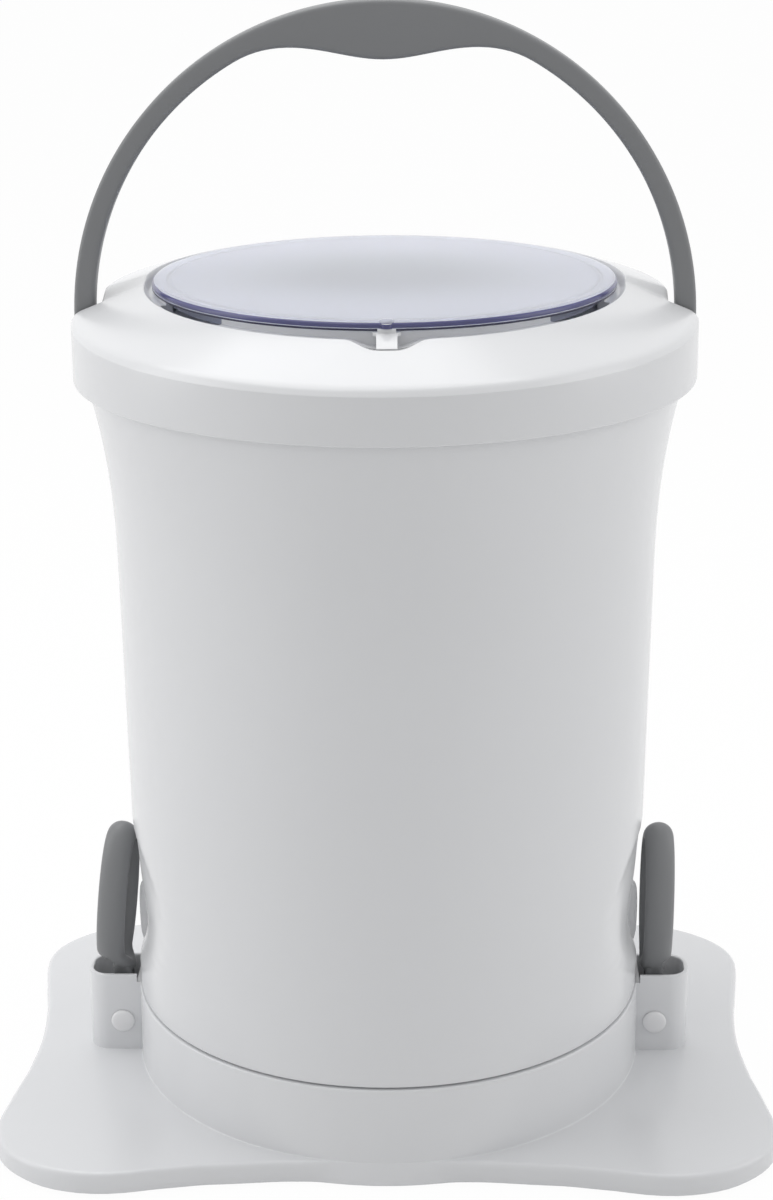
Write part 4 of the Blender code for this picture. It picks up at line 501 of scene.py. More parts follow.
column = rounded([(40, 12.3, 0.5), (40, 15.3, 0.7), (26, 15.3, 3), (26, 150, 0.6), (23.5, 150, 0.6),
                  (23.5, 12.3, 0.3)])
guide = turned("guide_tube", column, 72)
screw_holes(guide, 4, circle=33.5, radius=2.3, bottom=10, length=8)
dress(guide, "base", white_shell, "body", "guide_column")

# %% [markdown]
# ## The latch loops
#
# Each latch is one grey moulding: a narrow finger loop on a tang that turns on the pin. The loop is swept along a
# superellipse. Its section is a D, full on the outside and flatter towards the finger, and it gets thicker at the
# top and the bottom of the loop. When the latch swings out, the pocket's rim comes close to the loop's outer side,
# so that side is drawn in at the throat, just above the tang. The left latch is loose on its pin and stands a little
# askew, which fades out downwards, so its tang still sits square on the pin.

# %% Latches
LOOP_MIDDLE, LOOP_HALF_Z, LOOP_HALF_X, LOOP_POWER = 88.2, 33.4, 7.1, 2.1
TANG_TOP, TANG_HALF_X, TANG_HALF_Y = 53.5, 4.3, 7.2
SQUARE_BELOW, ASKEW_ABOVE = 50.0, 62.0
LATCH_SHARP = 60


def smooth(low, high, value):
    """Climbs from 0 at low to 1 at high, level at both ends."""
    t = min(max((value - low) / (high - low), 0), 1)
    return t * t * (3 - 2 * t)


def throat(spot):
    """How far the outer side may stand out from the pin at this place, so that it clears the rim at 20 degrees."""
    over_rim = 9.5 * smooth(56.4, ASKEW_ABOVE, spot.z)
    below_rim = 0.30 * max(54.0 - spot.z, 0)
    return 4.6 + over_rim + below_rim - 0.12 * max(abs(spot.y) - 3, 0) ** 1.5


def power_of(value, power):
    return math.copysign(abs(value) ** power, value)


def loop_section(turn, half_y, side, askew):
    """The D at one place of the loop, measured from the pin's middle line."""
    c, s = cos(turn), sin(turn)
    y, z = half_y * power_of(c, 2 / LOOP_POWER), LOOP_HALF_Z * power_of(s, 2 / LOOP_POWER)
    facing = Vector((0, c / half_y, s / LOOP_HALF_Z)).normalized()
    outer, inner = 4.8 + 1.6 * facing.z ** 2, 2.4 + 2.0 * facing.z ** 2
    section = []
    for around in angles(32):
        thick = outer if sin(around) > 0 else inner
        point = Vector((0, y, LOOP_MIDDLE + z)) + facing * thick * sin(around)
        free = smooth(SQUARE_BELOW, ASKEW_ABOVE, point.z)
        straight = Vector((side * (LOOP_HALF_X * cos(around) + 0.6 * free), point.y, point.z))
        spot = straight.lerp(askew @ straight, free)
        spot.x = side * min(side * spot.x, throat(spot))
        section.append(spot)
    return section


def latch(word, side, outward_by, twist, lean, half_y):
    pin = Matrix.Translation((0, 0, PIN_Z))
    leaning = pin @ Matrix.Rotation(lean, 4, "Y") @ pin.inverted()
    askew = leaning @ Matrix.Translation((side * outward_by, 0, 0)) @ Matrix.Rotation(twist, 4, "Z")
    pin_x = side * PIN_X
    sections = [[spot + Vector((pin_x, 0, 0)) for spot in loop_section(turn, half_y, side, askew)]
                for turn in angles(96)]
    piece = skin(f"latch_{word}", sections, sharp=LATCH_SHARP)
    tang = rounded([(x * TANG_HALF_X, y * TANG_HALF_Y, 2) for x, y in ((1, 1), (-1, 1), (-1, -1), (1, -1))], 4)
    stack = [[(pin_x + x, y, z) for x, y in tang] for z in (PIN_Z, TANG_TOP)]
    carve(piece, skin("tang", stack, ring=False), "UNION", LATCH_SHARP)
    carve(piece, peg("barrel", 6.5, (pin_x, -7.8, PIN_Z), 15.6, (0, 1, 0), 40), "UNION", LATCH_SHARP)
    carve(piece, peg("bore", 3.1, (pin_x, -10, PIN_Z), 20, (0, 1, 0)), sharp=LATCH_SHARP)
    dress(piece, f"latch_{word}", grey_satin, "grey", f"latch_ring_{word}")


latch("left", -1, outward_by=7.2, twist=radians(-12), lean=radians(5.7), half_y=9.4)
latch("right", 1, outward_by=0.0, twist=radians(5), lean=0.0, half_y=8.6)

# %% [markdown]
# ## The outer tub
#
# The tub looks like a plain tube, and its whole character is in three quiet changes: it widens slightly upwards, it
# flares like a trumpet under the ring, and behind each latch ring it is pressed in so that fingers can get hold. A
# sculptor would push the recess in by hand. Here it is one formula: an oval dent with a crisp edge, which gets deeper
# low in its middle. The CAD solid has a plainer dent in the same place. The columns are close together over the
# recesses and wide elsewhere.

# %% Shape of the tub's wall
TUB_REST, TUB_TOP, TUB_WALL = 49.2, 362.0, 2.5
TUB_RADIUS, TAPER = 121.9, 0.0165
FLARE_BOTTOM, FLARE_TOP, FLARE_BY = 262, 353, 9.9
SCOOP_HALF_TURN = radians(33.5)
SCOOP_MIDDLE, SCOOP_HALF_HEIGHT = 100.5, 38
SCOOP_LOWEST, SCOOP_CLIMB, FADE_UP, FADE_DOWN = 72, 11, 22, 13


def tub_radius(z):
    rise = max((min(z, FLARE_TOP) - FLARE_BOTTOM) / (FLARE_TOP - FLARE_BOTTOM), 0)
    return TUB_RADIUS + TAPER * (z - TUB_REST) + FLARE_BY * rise ** 2.4


def off_side(angle):
    """How far this angle is from the nearer of the two latches."""
    return min(abs(math.remainder(angle, math.tau)), abs(math.remainder(angle - math.pi, math.tau)))


def scoop(angle, z):
    """How deep the wall is pressed in. The reach is 0 in the oval's middle and 1 on its edge."""
    across = off_side(angle) / SCOOP_HALF_TURN
    reach = math.hypot(across, (z - SCOOP_MIDDLE) / SCOOP_HALF_HEIGHT)
    if reach >= 1:
        return 0
    deepest = SCOOP_LOWEST + SCOOP_CLIMB * across
    fade = FADE_UP if z > deepest else FADE_DOWN
    deep = math.exp(-((z - deepest) / fade) ** 2) * cos(radians(90) * min(1, across)) ** 1.5
    return (2.6 + 6.4 * deep * (1 - reach)) * (1 - reach * reach) ** 0.55 + 1.2 * deep * (1 - reach)


def steps_between(start, end, count):
    return [start + (end - start) * i / count for i in range(count + 1)]


half_turn = [-36, -33, -30, -27, -24, -21, -18.5, -16, -14, -12, -10.5, -9, -7.7, -6.5, -5.4, -4.4, -3.4, -2.4, -1.2]
half_turn += [0] + [-a for a in reversed(half_turn)] + steps_between(36, 144, 36)[1:-1]
tub_angles = [radians(a) for a in half_turn] + [radians(a + 180) for a in half_turn]
print(len(tub_angles), "columns round the tub, wall", TUB_WALL, "mm")

# %% [markdown]
# The section runs up the outside, over the rim, down the inside to the floor, over the nut's cup in the middle, down
# the sleeve that slides on the guide column, and back along the underside. At the floor the inside's run goes on down
# to height 146 and comes back up to 170, a fault that leaves a thin doubled strip in the wall. The lug in each
# recess, which the latch snaps on, is a separate thin fin joined to the wall.

# %% Skin the tub
FLOOR_TOP, FLOOR_UNDERSIDE = 161, 158.5
WALL_FROM, PRESSED_BELOW = 100, 150

pressed_levels = [50.0] + steps_between(52, 146, 58)
levels = [TUB_REST] + pressed_levels + steps_between(152, 256, 8) + steps_between(262, 352, 22)
rim = tub_radius(FLARE_TOP)
outer = [(tub_radius(z), z) for z in levels] + [(rim, TUB_TOP - 0.6), (rim - 0.6, TUB_TOP)]
outer[0] = (outer[0][0] - 1.3, outer[0][1] + 0.3)
outer[1] = (outer[1][0] - 0.3, outer[1][1] + 0.2)
split = len(pressed_levels)
inner = [(rim - TUB_WALL, TUB_TOP)] + [(r - TUB_WALL, z) for r, z in reversed(outer[split:-2])]
floor_edge = tub_radius(FLOOR_TOP) - TUB_WALL
inside = rounded([(floor_edge, 170, 0), (floor_edge, FLOOR_TOP, 5), (22.5, FLOOR_TOP, 1.5), (22.5, 176, 0.5),
                  (20, 176, 0.5), (20, 158, 0.5), (11, 158, 0.3), (11, 155.5, 0.3), (29, 155.5, 1), (29, 30, 0.4),
                  (31.5, 30, 0.4), (31.5, FLOOR_UNDERSIDE, 2), (floor_edge, FLOOR_UNDERSIDE, 2),
                  (floor_edge, 150, 0)], loop=False)
lower = [(r - TUB_WALL, z) for r, z in reversed(outer[1:split])] + [(outer[0][0] - TUB_WALL + 1, TUB_REST)]
tub_run = outer + inner + [tuple(p) for p in inside] + lower


def tub_section(angle):
    return [(r - scoop(angle, z) if r > WALL_FROM and z < PRESSED_BELOW else r, z) for r, z in tub_run]


tub = skin("outer_tub_skin", [upright(angle, tub_section(angle)) for angle in tub_angles])
print("tub skinned with", len(tub.data.polygons), "faces")

# %% Latch lugs and the drain hole
DRAIN_Z = 172

for side in (-1, 1):
    fin = []
    for y, draw_in in ((-3, 1.2), (-2.4, 0.3), (-1.2, 0), (1.2, 0), (2.4, 0.3), (3, 1.2)):
        leaf = rounded([(112, 61, 0), (117.5, 61.5, 3), (121.9 - draw_in, 68, 7), (122.4 - draw_in, 88, 12),
                        (121.5 - draw_in, 97, 3), (113, 100, 0)], 6, loop=False)
        fin.append([(side * x, y, z) for x, z in leaf])
    carve(tub, skin("lug", fin, ring=False), "UNION")
carve(tub, peg("drain_hole", 7.3, (0, 108, DRAIN_Z), 30, (0, 1, 0), 40))
dress(tub, "tub", white_shell, "body", "outer_tub")

# %% [markdown]
# ## The drain plug
#
# A rubber plug low on the back lets the water out. It is pressed, so its tab flows into the flange.

# %% Drain plug
wall_in, flange = tub_radius(DRAIN_Z) - TUB_WALL, tub_radius(DRAIN_Z) + 0.3
plug = rounded([(0, wall_in, 0), (6.6, wall_in, 0.6), (7, wall_in + 1.2, 0.4), (7, flange, 0.2), (10.5, flange, 0.5),
                (10.5, flange + 2, 0.8), (4, flange + 2, 1.2), (4, flange + 8, 1.2), (0, flange + 8, 0)], loop=False)
stopper = turned("drain_stopper", plug, 48, Matrix.Translation((0, 0, DRAIN_Z)) @ LYING, loop=False)
dress(stopper, "drain", pad_rubber, "rubber", "drain_plug")

# %% [markdown]
# ## The top ring
#
# The ring closes the tub and carries lid and handle, and it is the piece that the eye goes to. Its front half is one
# broad slope down to a rounded shoulder and a skirt. Its rear half is two things: a raised neck round the lid and, a
# step lower, a shelf on which the folded handle comes to rest. Both halves share the lid's seat in the middle. The
# seat's front has a bay for the clip. It is turned a little, as in the photograph, and clip and knob turn with it.
#
# A Boolean could cut the rear half out of a turned ring, but the soft edges would be lost. So each angle gets its own
# section, and the two kinds have the same number of corners. Where one turns into the other, two columns stand
# almost on top of each other, and the skin between them is the step.

# %% Heights of the ring
RING, RING_BOTTOM, SHELF, NECK = 142.5, 353.0, 366.0, 129.0
RING_WALL, SKIRT_INSIDE = 2.6, 139.9
SEAT, SEAT_EDGE, SEAT_FLOOR = 107.0, 109.3, 391.0
SLOPE, RISE_TO_BACK = 0.40, 0.0317
REAR_BAY_HALF, REAR_BAY_DEPTH, CLIP_BAY_DEPTH = 52, 8.9, 7.0
STEP_Y, SEAT_TURN = -6.8, radians(1.4)


def slope_height(r, angle):
    return 382.4 + SLOPE * (139 - r) + RISE_TO_BACK * r * sin(angle)


def neck_height(r):
    return 396.8 - 0.31 * (r - SEAT)


def neck_radius(angle):
    """Drawn in at the back, where the folded handle's grip lies."""
    along = abs(NECK * cos(angle)) / REAR_BAY_HALF
    if along >= 1 or sin(angle) < 0:
        return NECK
    return NECK - REAR_BAY_DEPTH * 0.5 * (1 + cos(math.pi * along))


def seat_edge(angle):
    """The upper edge of the recess round the lid, with a smooth bay at the front for the clip."""
    x = abs(110 * cos(angle - SEAT_TURN))
    return SEAT_EDGE + (CLIP_BAY_DEPTH * (1 - smooth(4.5, 18.0, x)) if sin(angle) < 0 else 0)


def ring_section(angle, rear):
    """Upstand, seat and upper face, then down the skirt and back along the underside."""
    edge, neck = seat_edge(angle), neck_radius(angle)
    seat = SEAT + 0.55 * (edge - SEAT_EDGE)
    raised = smooth(-1.5, 4.5, 118 * sin(angle))
    tilt = RISE_TO_BACK * RING * sin(angle)

    def top(r):
        return slope_height(r, angle) * (1 - raised) + neck_height(r) * raised

    floor = min(SEAT_FLOOR, top(edge) - 0.9)
    corners = [(100, 380, 0.6), (100, 393.3, 0.8), (103, 393.3, 0.8), (103, floor, 0.5), (seat, floor, 1.0),
               (edge, top(edge), 0.5)]
    if rear:
        corners += [(neck, top(neck), 2.2), (neck + 0.5, SHELF, 1.2), (RING, SHELF, 1.6), (RING, 362, 0.5)]
    else:
        corners += [(neck, top(neck), 0.5), (neck + 1.5, top(neck + 1.5), 0.5),
                    (140.2, slope_height(140.2, angle), 3.0), (RING, 378.6 + tilt, 0.3)]
    corners += [(RING, RING_BOTTOM, 0.9), (138, RING_BOTTOM, 0.6), (SKIRT_INSIDE, RING_BOTTOM + RING_WALL, 0.6)]
    if rear:
        corners += [(SKIRT_INSIDE, SHELF - RING_WALL, 1), (neck - RING_WALL, SHELF - RING_WALL, 1),
                    (neck - 3.4, top(neck) - 5, 1.5)]
    else:
        corners += [(SKIRT_INSIDE, 377 + tilt, 2), (136, slope_height(136, angle) - RING_WALL, 1),
                    (neck - 3.4, slope_height(neck - 3.4, angle) - RING_WALL, 1)]
    corners += [(edge + RING_WALL, top(edge) - 6, 1), (seat - 1, floor - RING_WALL, 1),
                (102.2, floor - RING_WALL, 0.6), (102.2, 380, 0.3)]
    return rounded(corners, 5)


ring_turns = {182.0, 358.0}.union(steps_between(0, 176, 88), steps_between(184, 262, 52),
                                  steps_between(262, 278, 40), steps_between(278, 356, 52))
step_turn = math.degrees(math.asin(-STEP_Y / NECK))
left_step, right_step, step_half = 180 + step_turn, 360 - step_turn, 0.03
ring_turns = [t for t in ring_turns if min(abs(t - left_step), abs(t - right_step)) > 0.5]
plan = [(t, t < left_step or t > right_step) for t in ring_turns]
plan += [(left_step - step_half, True), (left_step + step_half, False),
         (right_step - step_half, False), (right_step + step_half, True)]
plan.sort()
print(len(plan), "columns; the rear half starts", round(step_turn, 2), "degrees in front of the side")

# %% [markdown]
# Cut into the skin are a long gap beside the lid's upstand and a small one beside the clip, left and right, and the
# holes for the handle's pins.

# %% Skin the ring
HANDLE_Z = 372.5
GAP_STEPS, GAP_STEP = 9, radians(1.5)


def finger_gap(side):
    """The outline from above: even along the upstand, and swelling outwards to its middle."""
    middle = radians(-90 + side * 56.5) + SEAT_TURN
    steps = range(-GAP_STEPS, GAP_STEPS + 1)
    edge = [(97, k) for k in steps]
    edge += [(105.6 + 2.4 * cos(radians(10 * k)), k) for k in reversed(steps)]
    return [(r * cos(middle + k * GAP_STEP), r * sin(middle + k * GAP_STEP)) for r, k in edge]


def clip_gap(side):
    spots = ((4.6, 109.2), (13.0, 108.6), (4.6, 111.8))
    return [(Matrix.Rotation(SEAT_TURN, 3, "Z") @ Vector((side * x, -y, 0))).xy for x, y in spots]


ring = skin("top_ring_skin", [upright(radians(t), ring_section(radians(t), rear)) for t, rear in plan])
for side in (-1, 1):
    carve(ring, peg("pin_hole", 2.7, (side * 121, 0, HANDLE_Z), 12, (side, 0, 0)))
    for name, outline, bottom in (("finger_gap", finger_gap(side), 385), ("clip_gap", clip_gap(side), 383)):
        carve(ring, skin(name, [[(x, y, z) for x, y in outline] for z in (bottom, 395)], ring=False))
dress(ring, "tub", white_shell, "body", "top_ring")

# %% [markdown]
# ## The clear lid
#
# The lid is a thin, slightly domed disc of blue-tinted plastic with a thick rounded rim. In the photograph the disc
# is pale and a little milky, and darker grey in the middle, where the shaded inside under the lid shows dimly
# through.
# So its finish is partly clear and partly a tint, and the tint is painted darker towards the middle: painted shade
# that stands for that dim inside. The rim, seen edge-on through a lot of plastic, turns blue-violet and almost navy
# at its lower edge. Rim and lower edge have denser finishes of their own for that, and the small head on the rim's
# front is white.

# %% Clear finishes
PAINTED_SHADE_EDGE, PAINTED_SHADE_CORE, PAINTED_SHADE_SQUASH = 105, 15, 1.25


def painted_centre_shade(tree, place, tint, painted_shade):
    """The tint, drawn towards a darker colour inside an oval about the axis: painted shade for the shaded inside
    below.
    """
    flat, reach = add(tree, "VectorMath"), add(tree, "VectorMath")
    flat.operation, reach.operation = "MULTIPLY", "LENGTH"
    flat.inputs[1].default_value = (1, PAINTED_SHADE_SQUASH, 0)
    tree.links.new(place, flat.inputs[0])
    tree.links.new(flat.outputs["Vector"], reach.inputs[0])
    inward = add(tree, "MapRange", From_Min=PAINTED_SHADE_EDGE * MM, From_Max=PAINTED_SHADE_CORE * MM)
    inward.interpolation_type = "SMOOTHSTEP"
    tree.links.new(reach.outputs["Value"], inward.inputs["Value"])
    shade = add(tree, "Mix")
    shade.data_type = "RGBA"
    shade.inputs["B"].default_value = (*painted_shade, 1)
    tree.links.new(inward.outputs["Result"], shade.inputs["Factor"])
    tree.links.new(tint, shade.inputs["A"])
    return shade.outputs["Result"]


def clear_plastic(name, colour, second, roughness, transmission, painted_shade=None):
    material, tree, shader, place = blank(name)
    broad = noise(tree, place, scale=16, detail=2)
    fine = noise(tree, place, scale=240, detail=2)
    tint = drift(tree, broad, colour, second)
    # Painted shade: the tint is drawn darker towards the middle of the disc.
    if painted_shade:
        tint = painted_centre_shade(tree, place, tint, painted_shade)
    tree.links.new(tint, shader.inputs["Base Color"])
    tree.links.new(spread(tree, fine, roughness, roughness * 1.6), shader.inputs["Roughness"])
    emboss(tree, shader, broad, 0.2, 0.02)
    shader.inputs["Transmission Weight"].default_value = transmission
    shader.inputs["IOR"].default_value = PLASTIC_IOR
    return material


# The last colour is painted shade in the middle of the disc, which stands for the shaded inside under the lid.
lid_clear = clear_plastic("clear_lid", (0.84, 0.87, 0.985), (0.82, 0.85, 0.975), 0.03, 0.62, (0.60, 0.635, 0.72))
rim_violet = clear_plastic("lid_rim_violet", (0.085, 0.085, 0.23), (0.065, 0.065, 0.19), 0.12, 0.30)
rim_navy = clear_plastic("lid_edge_navy", (0.010, 0.010, 0.040), (0.008, 0.008, 0.034), 0.30, 0.0)

# %% Lid
LID_RADIUS, DISC_RADIUS, DISC_BOTTOM = 105.4, 104.0, 397.0
GROOVE_BOTTOM, GROOVE, GROOVE_TOP = 394.55, 394.6, 394.8
HEAD_RADIUS, HEAD_TOP = 2.4, 396.9

lid_run = rounded([(0, 398.3, 0), (60, 398.05, 0), (103.0, 397.4, 1.2), (104.4, 397.1, 0.5), (LID_RADIUS, 396.2, 0.8),
                   (LID_RADIUS, 394.9, 0), (105.25, GROOVE, 0), (LID_RADIUS, 394.5, 0), (LID_RADIUS, 393.6, 0.3),
                   (98.8, 393.6, 0.4), (98.8, 389.1, 0.5), (97, 389.1, 0.5), (97, 395.4, 1.2), (60, 395.9, 0),
                   (0, 396.1, 0)], 6, loop=False)
boss_run = [(0, 395.2, 0), (3.6, 395.2, 0), (3.4, 397.4, 1.2), (2.0, 398.2, 1.0), (0, 398.3, 0)]
head_run = [(0, 394.8, 0), (HEAD_RADIUS, 394.8, 0), (HEAD_RADIUS, HEAD_TOP - 0.1, 0.3), (0, HEAD_TOP, 0)]
boss_place, head_place = (Matrix.Rotation(SEAT_TURN, 4, "Z") @ Matrix.Translation((0, y, 0))
                          for y in (-102.8, -105.1))

lid_piece = turned("clear_lid", lid_run, 144, loop=False)
for run, place in ((boss_run, boss_place), (head_run, head_place)):
    carve(lid_piece, turned("knob", rounded(run, 5, loop=False), 40, place, loop=False), "UNION")
lid_piece.data.materials.clear()
for finish in (lid_clear, rim_violet, rim_navy, white_shell):
    lid_piece.data.materials.append(finish)
for face in lid_piece.data.polygons:
    r, z = math.hypot(face.center.x, face.center.y) / MM, face.center.z / MM
    from_head = (face.center / MM - head_place.translation).xy.length
    if from_head < HEAD_RADIUS + 0.1 and face.normal.z > 0.9 and z < HEAD_TOP + 0.05:
        face.material_index = 3
    elif r < DISC_RADIUS or z > DISC_BOTTOM or GROOVE_BOTTOM < z < GROOVE_TOP:
        face.material_index = 0
    else:
        face.material_index = 1 if z > GROOVE else 2
dress(lid_piece, "lid", lid_clear, "lid", "lid")

# %% [markdown]
# Two small T-shaped clips sit under the rim, at the front and at the back. The front one is longer: its stem slopes
# down into the ring's bay, and a small lip stands on it before the rim. Both are turned with the seat. Their edges
# are rounded by a bevel, because at this size a fillet in the section would be wasted work.

# %% Clips
HEAD_HALF, STEM_HALF, CLIP_BACK, SLOPE_FROM = 5.9, 4.4, 103.3, 106.2

for side, word, reach in ((-1, "front", 116.0), (1, "back", 107.6)):
    half = [(HEAD_HALF, CLIP_BACK), (HEAD_HALF, SLOPE_FROM), (STEM_HALF, SLOPE_FROM + 1), (STEM_HALF, reach)]
    outline = [(-HEAD_HALF, CLIP_BACK)] + half + [(-x, y) for x, y in half[:0:-1]]
    layers = [[(x, side * y, z - fall * max(y - SLOPE_FROM, 0)) for x, y in outline]
              for z, fall in ((391.9, 0.39), (393.3, 0.50))]
    clip = skin(f"clip_{word}", layers, ring=False)
    if side < 0:
        carve(clip, slab("clip_lip", (-3.9, -106.5, 392.5), (3.9, -105.6, 394.6)), "UNION")
    clip.data.transform(Matrix.Rotation(SEAT_TURN, 4, "Z"))
    soften = clip.modifiers.new("soften", "BEVEL")
    soften.width, soften.segments = 0.35 * MM, 3
    settle(clip)
    dress(clip, "lid", white_shell, "body", f"lid_clip_{word}")

# %% [markdown]
# ## The carrying handle
#
# The handle is a half circle of grey plastic that swells inwards to a grip in the middle. Its front and back are flat
# and its edges are soft, which is why the photograph shows a pale line where the upper face turns into the front.
# The section is swept along the arc, one station after another, and only its inner side moves for the grip. Each leg
# ends in a half round about its pivot.

# %% Handle
BAIL, BAIL_THICK, BAIL_HALF = 141.5, 9.4, 6.0
ARC_Z = HANDLE_Z + 6.0
GRIP_RADIUS, GRIP_HALF, GRIP_SWELL = 136, 68, 16.7
LEG_STEPS, ARC_STEPS = 12, 121


def bail_section(centre, outward, inner, half):
    """A flat section with soft edges, which stands on the line from the centre outwards."""
    fillet = min(2.4, half * 0.8)
    corners = [(BAIL, -half, fillet), (BAIL, half, fillet), (inner, half, fillet), (inner, -half, fillet)]
    return [centre + outward * r + Vector((0, y, 0)) for r, y in rounded(corners, 5)]


def bail_leg(side):
    leg = []
    for k in range(LEG_STEPS):
        turn = radians(6 + 84 * k / (LEG_STEPS - 1))
        centre = Vector((0, 0, HANDLE_Z - BAIL_HALF * cos(turn)))
        leg.append(bail_section(centre, Vector((side, 0, 0)), BAIL - BAIL_THICK, BAIL_HALF * sin(turn)))
    return leg


def bail_arc():
    arc = []
    for k in range(ARC_STEPS):
        turn = math.pi * (1 - k / (ARC_STEPS - 1))
        outward = Vector((cos(turn), 0, sin(turn)))
        along = min(abs(GRIP_RADIUS * cos(turn)) / GRIP_HALF, 1)
        grip = GRIP_SWELL * 0.5 * (1 + cos(math.pi * along))
        arc.append(bail_section(Vector((0, 0, ARC_Z)), outward, BAIL - BAIL_THICK - grip, BAIL_HALF))
    return arc


bail = skin("carrying_handle", bail_leg(-1) + bail_arc() + bail_leg(1)[::-1], ring=False)
for side in (-1, 1):
    carve(bail, peg("pin_bore", 2.8, (side * NECK, 0, HANDLE_Z), 9.5, (side, 0, 0)))
dress(bail, "handle", grey_satin, "grey", "handle_bail")

# %% [markdown]
# ## Basket and centre cone
#
# Under the lid the slotted basket spins round a hollow cone that covers the drive. Only a faint form of them shows
# through the lid, but they are open to view once it is off. The basket is a sheet laid out in cells, and the
# slots are simply cells that are left out, with their edges closed.

# %% Basket
SLOTS, SLOT_HALF, SLOT_ROWS, SLOT_LENGTH, SLOT_PITCH = 14, radians(1.6), 3, 50, 62
BASKET_BOTTOM, BASKET_FLOOR, BASKET_TOP, BASKET_WALL = 165.5, 168.0, 372, 2.2


def basket_radius(z):
    return 110 + 3 * (z - BASKET_BOTTOM) / (BASKET_TOP - BASKET_BOTTOM)


stations = [((r, BASKET_FLOOR), (r, BASKET_BOTTOM)) for r in (30.5, 76, 99)]
stations += [((103.6, BASKET_FLOOR), (104.4, BASKET_BOTTOM)), ((106.6, 169.2), (108.4, 166.6)),
             ((107.8, 172.2), (110.0, 170.0))]
open_rows = {1}
for row in range(SLOT_ROWS):
    low = 182 + row * SLOT_PITCH
    open_rows.add(len(stations))
    stations += [((basket_radius(z) - BASKET_WALL, z), (basket_radius(z), z)) for z in (low, low + SLOT_LENGTH)]
stations += [((110.7, 366), (112.9, 366)), ((110.9, 369), (115.6, 367.6)), ((111.3, 371.4), (115.9, 369.5)),
             ((113.0, 372.0), (115.4, 371.6))]
solid = math.tau / SLOTS - 2 * SLOT_HALF
parts = [-SLOT_HALF, SLOT_HALF] + [SLOT_HALF + solid * k / 6 for k in range(1, 6)]
basket_turns = [math.tau * slot / SLOTS + part for slot in range(SLOTS) for part in parts]
shell = bmesh.new()
grid = [[[shell.verts.new((r * cos(a) * MM, r * sin(a) * MM, z * MM)) for a in basket_turns]
         for r, z in pair] for pair in stations]
wide, rows = len(basket_turns), len(stations) - 1


def is_open(row, column):
    return row in open_rows and column % len(parts) == 0


for row in range(rows):
    for column in range(wide):
        if is_open(row, column):
            continue
        ahead = (column + 1) % wide
        for side in (0, 1):
            shell.faces.new((grid[row][side][column], grid[row][side][ahead],
                             grid[row + 1][side][ahead], grid[row + 1][side][column]))
        edges = ((row == 0 or is_open(row - 1, column), (row, column), (row, ahead)),
                 (row == rows - 1 or is_open(row + 1, column), (row + 1, column), (row + 1, ahead)),
                 (is_open(row, (column - 1) % wide), (row, column), (row + 1, column)),
                 (is_open(row, ahead), (row, ahead), (row + 1, ahead)))
        for bare, first, second in edges:
            if bare:
                shell.faces.new((grid[first[0]][0][first[1]], grid[second[0]][0][second[1]],
                                 grid[second[0]][1][second[1]], grid[first[0]][1][first[1]]))
basket = to_piece("slotted_basket", shell)
dress(basket, "basket", white_shell, "body", "spin_basket")

# %% Cone and cap
CONE_ROOT, CONE_NARROWS, CONE_WALL = 33.5, 17.7, 2.4
CONE_BOTTOM, CONE_HEIGHT, CONE_STEPS = 182, 83.5, 16

cone_out, cone_in = [(44.5, 168.3), (44.5, 170.4), (44.2, 170.7), (36, 170.7), (34.6, 171.6), (34, 173.5)], []
for k in range(CONE_STEPS + 1):
    rise = k / CONE_STEPS
    r = CONE_ROOT - CONE_NARROWS * (rise + 0.60 * rise * (1 - rise))
    cone_out.append((r, CONE_BOTTOM + CONE_HEIGHT * rise))
    cone_in.append((r - CONE_WALL, CONE_BOTTOM + CONE_HEIGHT * rise))
cone = turned("cone_shell", cone_out + cone_in[::-1] + [(31.1, 168.3)], 72)
screw_holes(cone, 3, circle=40.3, radius=1.9, bottom=166, length=7, sides=24)
dress(cone, "basket", white_shell, "body", "centre_cone")
cap = rounded([(0, 262.8, 0), (13.1, 262.8, 0.3), (13.1, 265.8, 0), (15.8, 265.8, 0.4), (15.4, 268.8, 2.2),
               (9.5, 272.1, 5), (0, 272.3, 0)], 6, loop=False)
dress(turned("cone_button", cap, 72, loop=False), "basket", grey_satin, "grey", "cone_cap")

# %% [markdown]
# ## Pieces that keep their CAD shape
#
# What sits inside the drive is right as the CAD has it: screws, washers, bushes, nut and clutch. Those solids stay
# and only take the finishes from above.

# %% Repaint the inner pieces
repaint(bright_steel, "drive_screw", "anchor_nut", "screw_stop", "stop_nut", "nut_washer", "nut_retainer",
        "handle_pin_left", "handle_pin_right", *[f"column_screw_{k}" for k in range(1, 5)],
        *[f"hub_screw_{k}" for k in range(1, 4)])
repaint(slide_white, "column_bush", "sleeve_bush", "thrust_washer", "bearing_bush", "drive_nut", "basket_hub",
        "clutch_crown")

# %% [markdown]
# ## Floor and light
#
# The photograph is a catalogue picture: a white sweep, two large soft sources from the sides, and hardly any shadow.
# The floor is plain and pale. To the camera, and to gloss and clear plastic, most of it is plain white, and a small
# share stays an ordinary surface, so that it still takes the dryer's shadow. The world does the same for what lies
# beyond it. The tub is brighter at its edges than in the middle, so the side lamps are strong and the front is weak.

# %% Studio
def white_to_the_eye(tree):
    """1 for rays from the camera and through gloss or clear plastic, 0 for rays that light things."""
    path = add(tree, "LightPath")
    total = path.outputs["Is Camera Ray"]
    for word in ("Is Glossy Ray", "Is Transmission Ray"):
        both = add(tree, "Math")
        both.operation, both.use_clamp = "ADD", True
        tree.links.new(total, both.inputs[0])
        tree.links.new(path.outputs[word], both.inputs[1])
        total = both.outputs["Value"]
    return total


WHITE_SHARE, WORLD_LIGHT = 0.97, 0.56

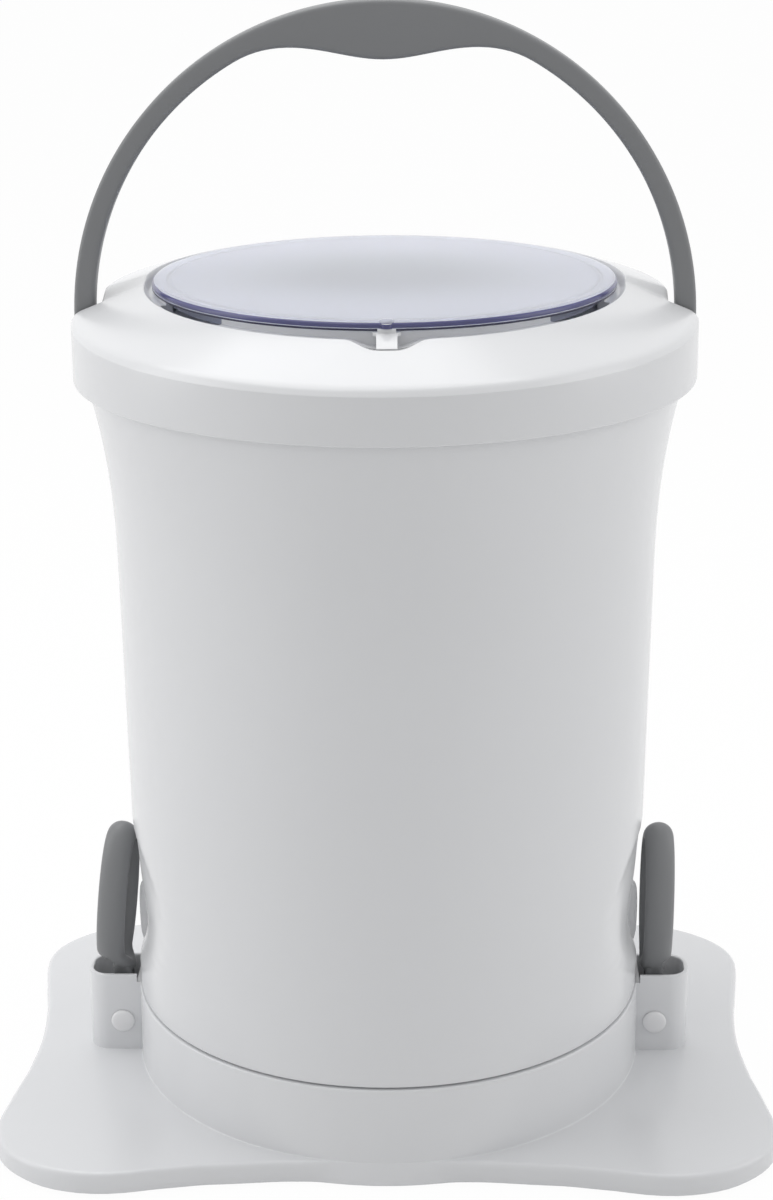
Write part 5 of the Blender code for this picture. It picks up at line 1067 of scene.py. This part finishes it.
floor_look = bpy.data.materials.new("studio_floor")
floor_look.use_nodes = True
tree = floor_look.node_tree
tree.nodes.remove(tree.nodes["Principled BSDF"])
pale = add(tree, "BsdfDiffuse", Color=(0.86, 0.86, 0.86, 1))
glow = add(tree, "Emission", Color=(1, 1, 1, 1))
mix, share = add(tree, "MixShader"), add(tree, "Math")
share.operation = "MULTIPLY"
share.inputs[1].default_value = WHITE_SHARE
tree.links.new(white_to_the_eye(tree), share.inputs[0])
tree.links.new(share.outputs["Value"], mix.inputs["Fac"])
tree.links.new(pale.outputs["BSDF"], mix.inputs[1])
tree.links.new(glow.outputs["Emission"], mix.inputs[2])
tree.links.new(mix.outputs["Shader"], tree.nodes["Material Output"].inputs["Surface"])

sheet = bpy.data.meshes.new("studio_floor")
sheet.from_pydata([(-20, -20, 0), (20, -20, 0), (20, 20, 0), (-20, 20, 0)], [], [(0, 1, 2, 3)])
floor = bpy.data.objects.new("studio_floor", sheet)
bpy.context.scene.collection.objects.link(floor)
sheet.materials.append(floor_look)
floor.location.z = -0.0002

world = bpy.data.worlds.new("studio_world")
bpy.context.scene.world = world
world.use_nodes = True
tree = world.node_tree
back = tree.nodes["Background"]
back.inputs["Color"].default_value = (1, 1, 1, 1)
level = add(tree, "MapRange", To_Min=WORLD_LIGHT, To_Max=1.0)
tree.links.new(white_to_the_eye(tree), level.inputs["Value"])
tree.links.new(level.outputs["Result"], back.inputs["Strength"])


def lamp(name, place, aim, width, height, power):
    """A soft box that looks at a point."""
    data = bpy.data.lights.new(name, "AREA")
    data.shape, data.size, data.size_y, data.energy = "RECTANGLE", width, height, power
    made = bpy.data.objects.new(name, data)
    bpy.context.scene.collection.objects.link(made)
    made.location = place
    made.rotation_euler = (Vector(aim) - Vector(place)).to_track_quat("-Z", "Y").to_euler()


lamp("left_box", (-1.5, -0.2, 0.8), (0, 0, 0.25), 0.9, 1.6, 6.8)
lamp("right_box", (1.5, -0.2, 0.8), (0, 0, 0.25), 0.9, 1.6, 5.7)
lamp("top_box", (-0.25, 0.3, 1.85), (0, 0, 0.2), 1.6, 1.6, 17)
bpy.context.scene.view_settings.view_transform = "Standard"
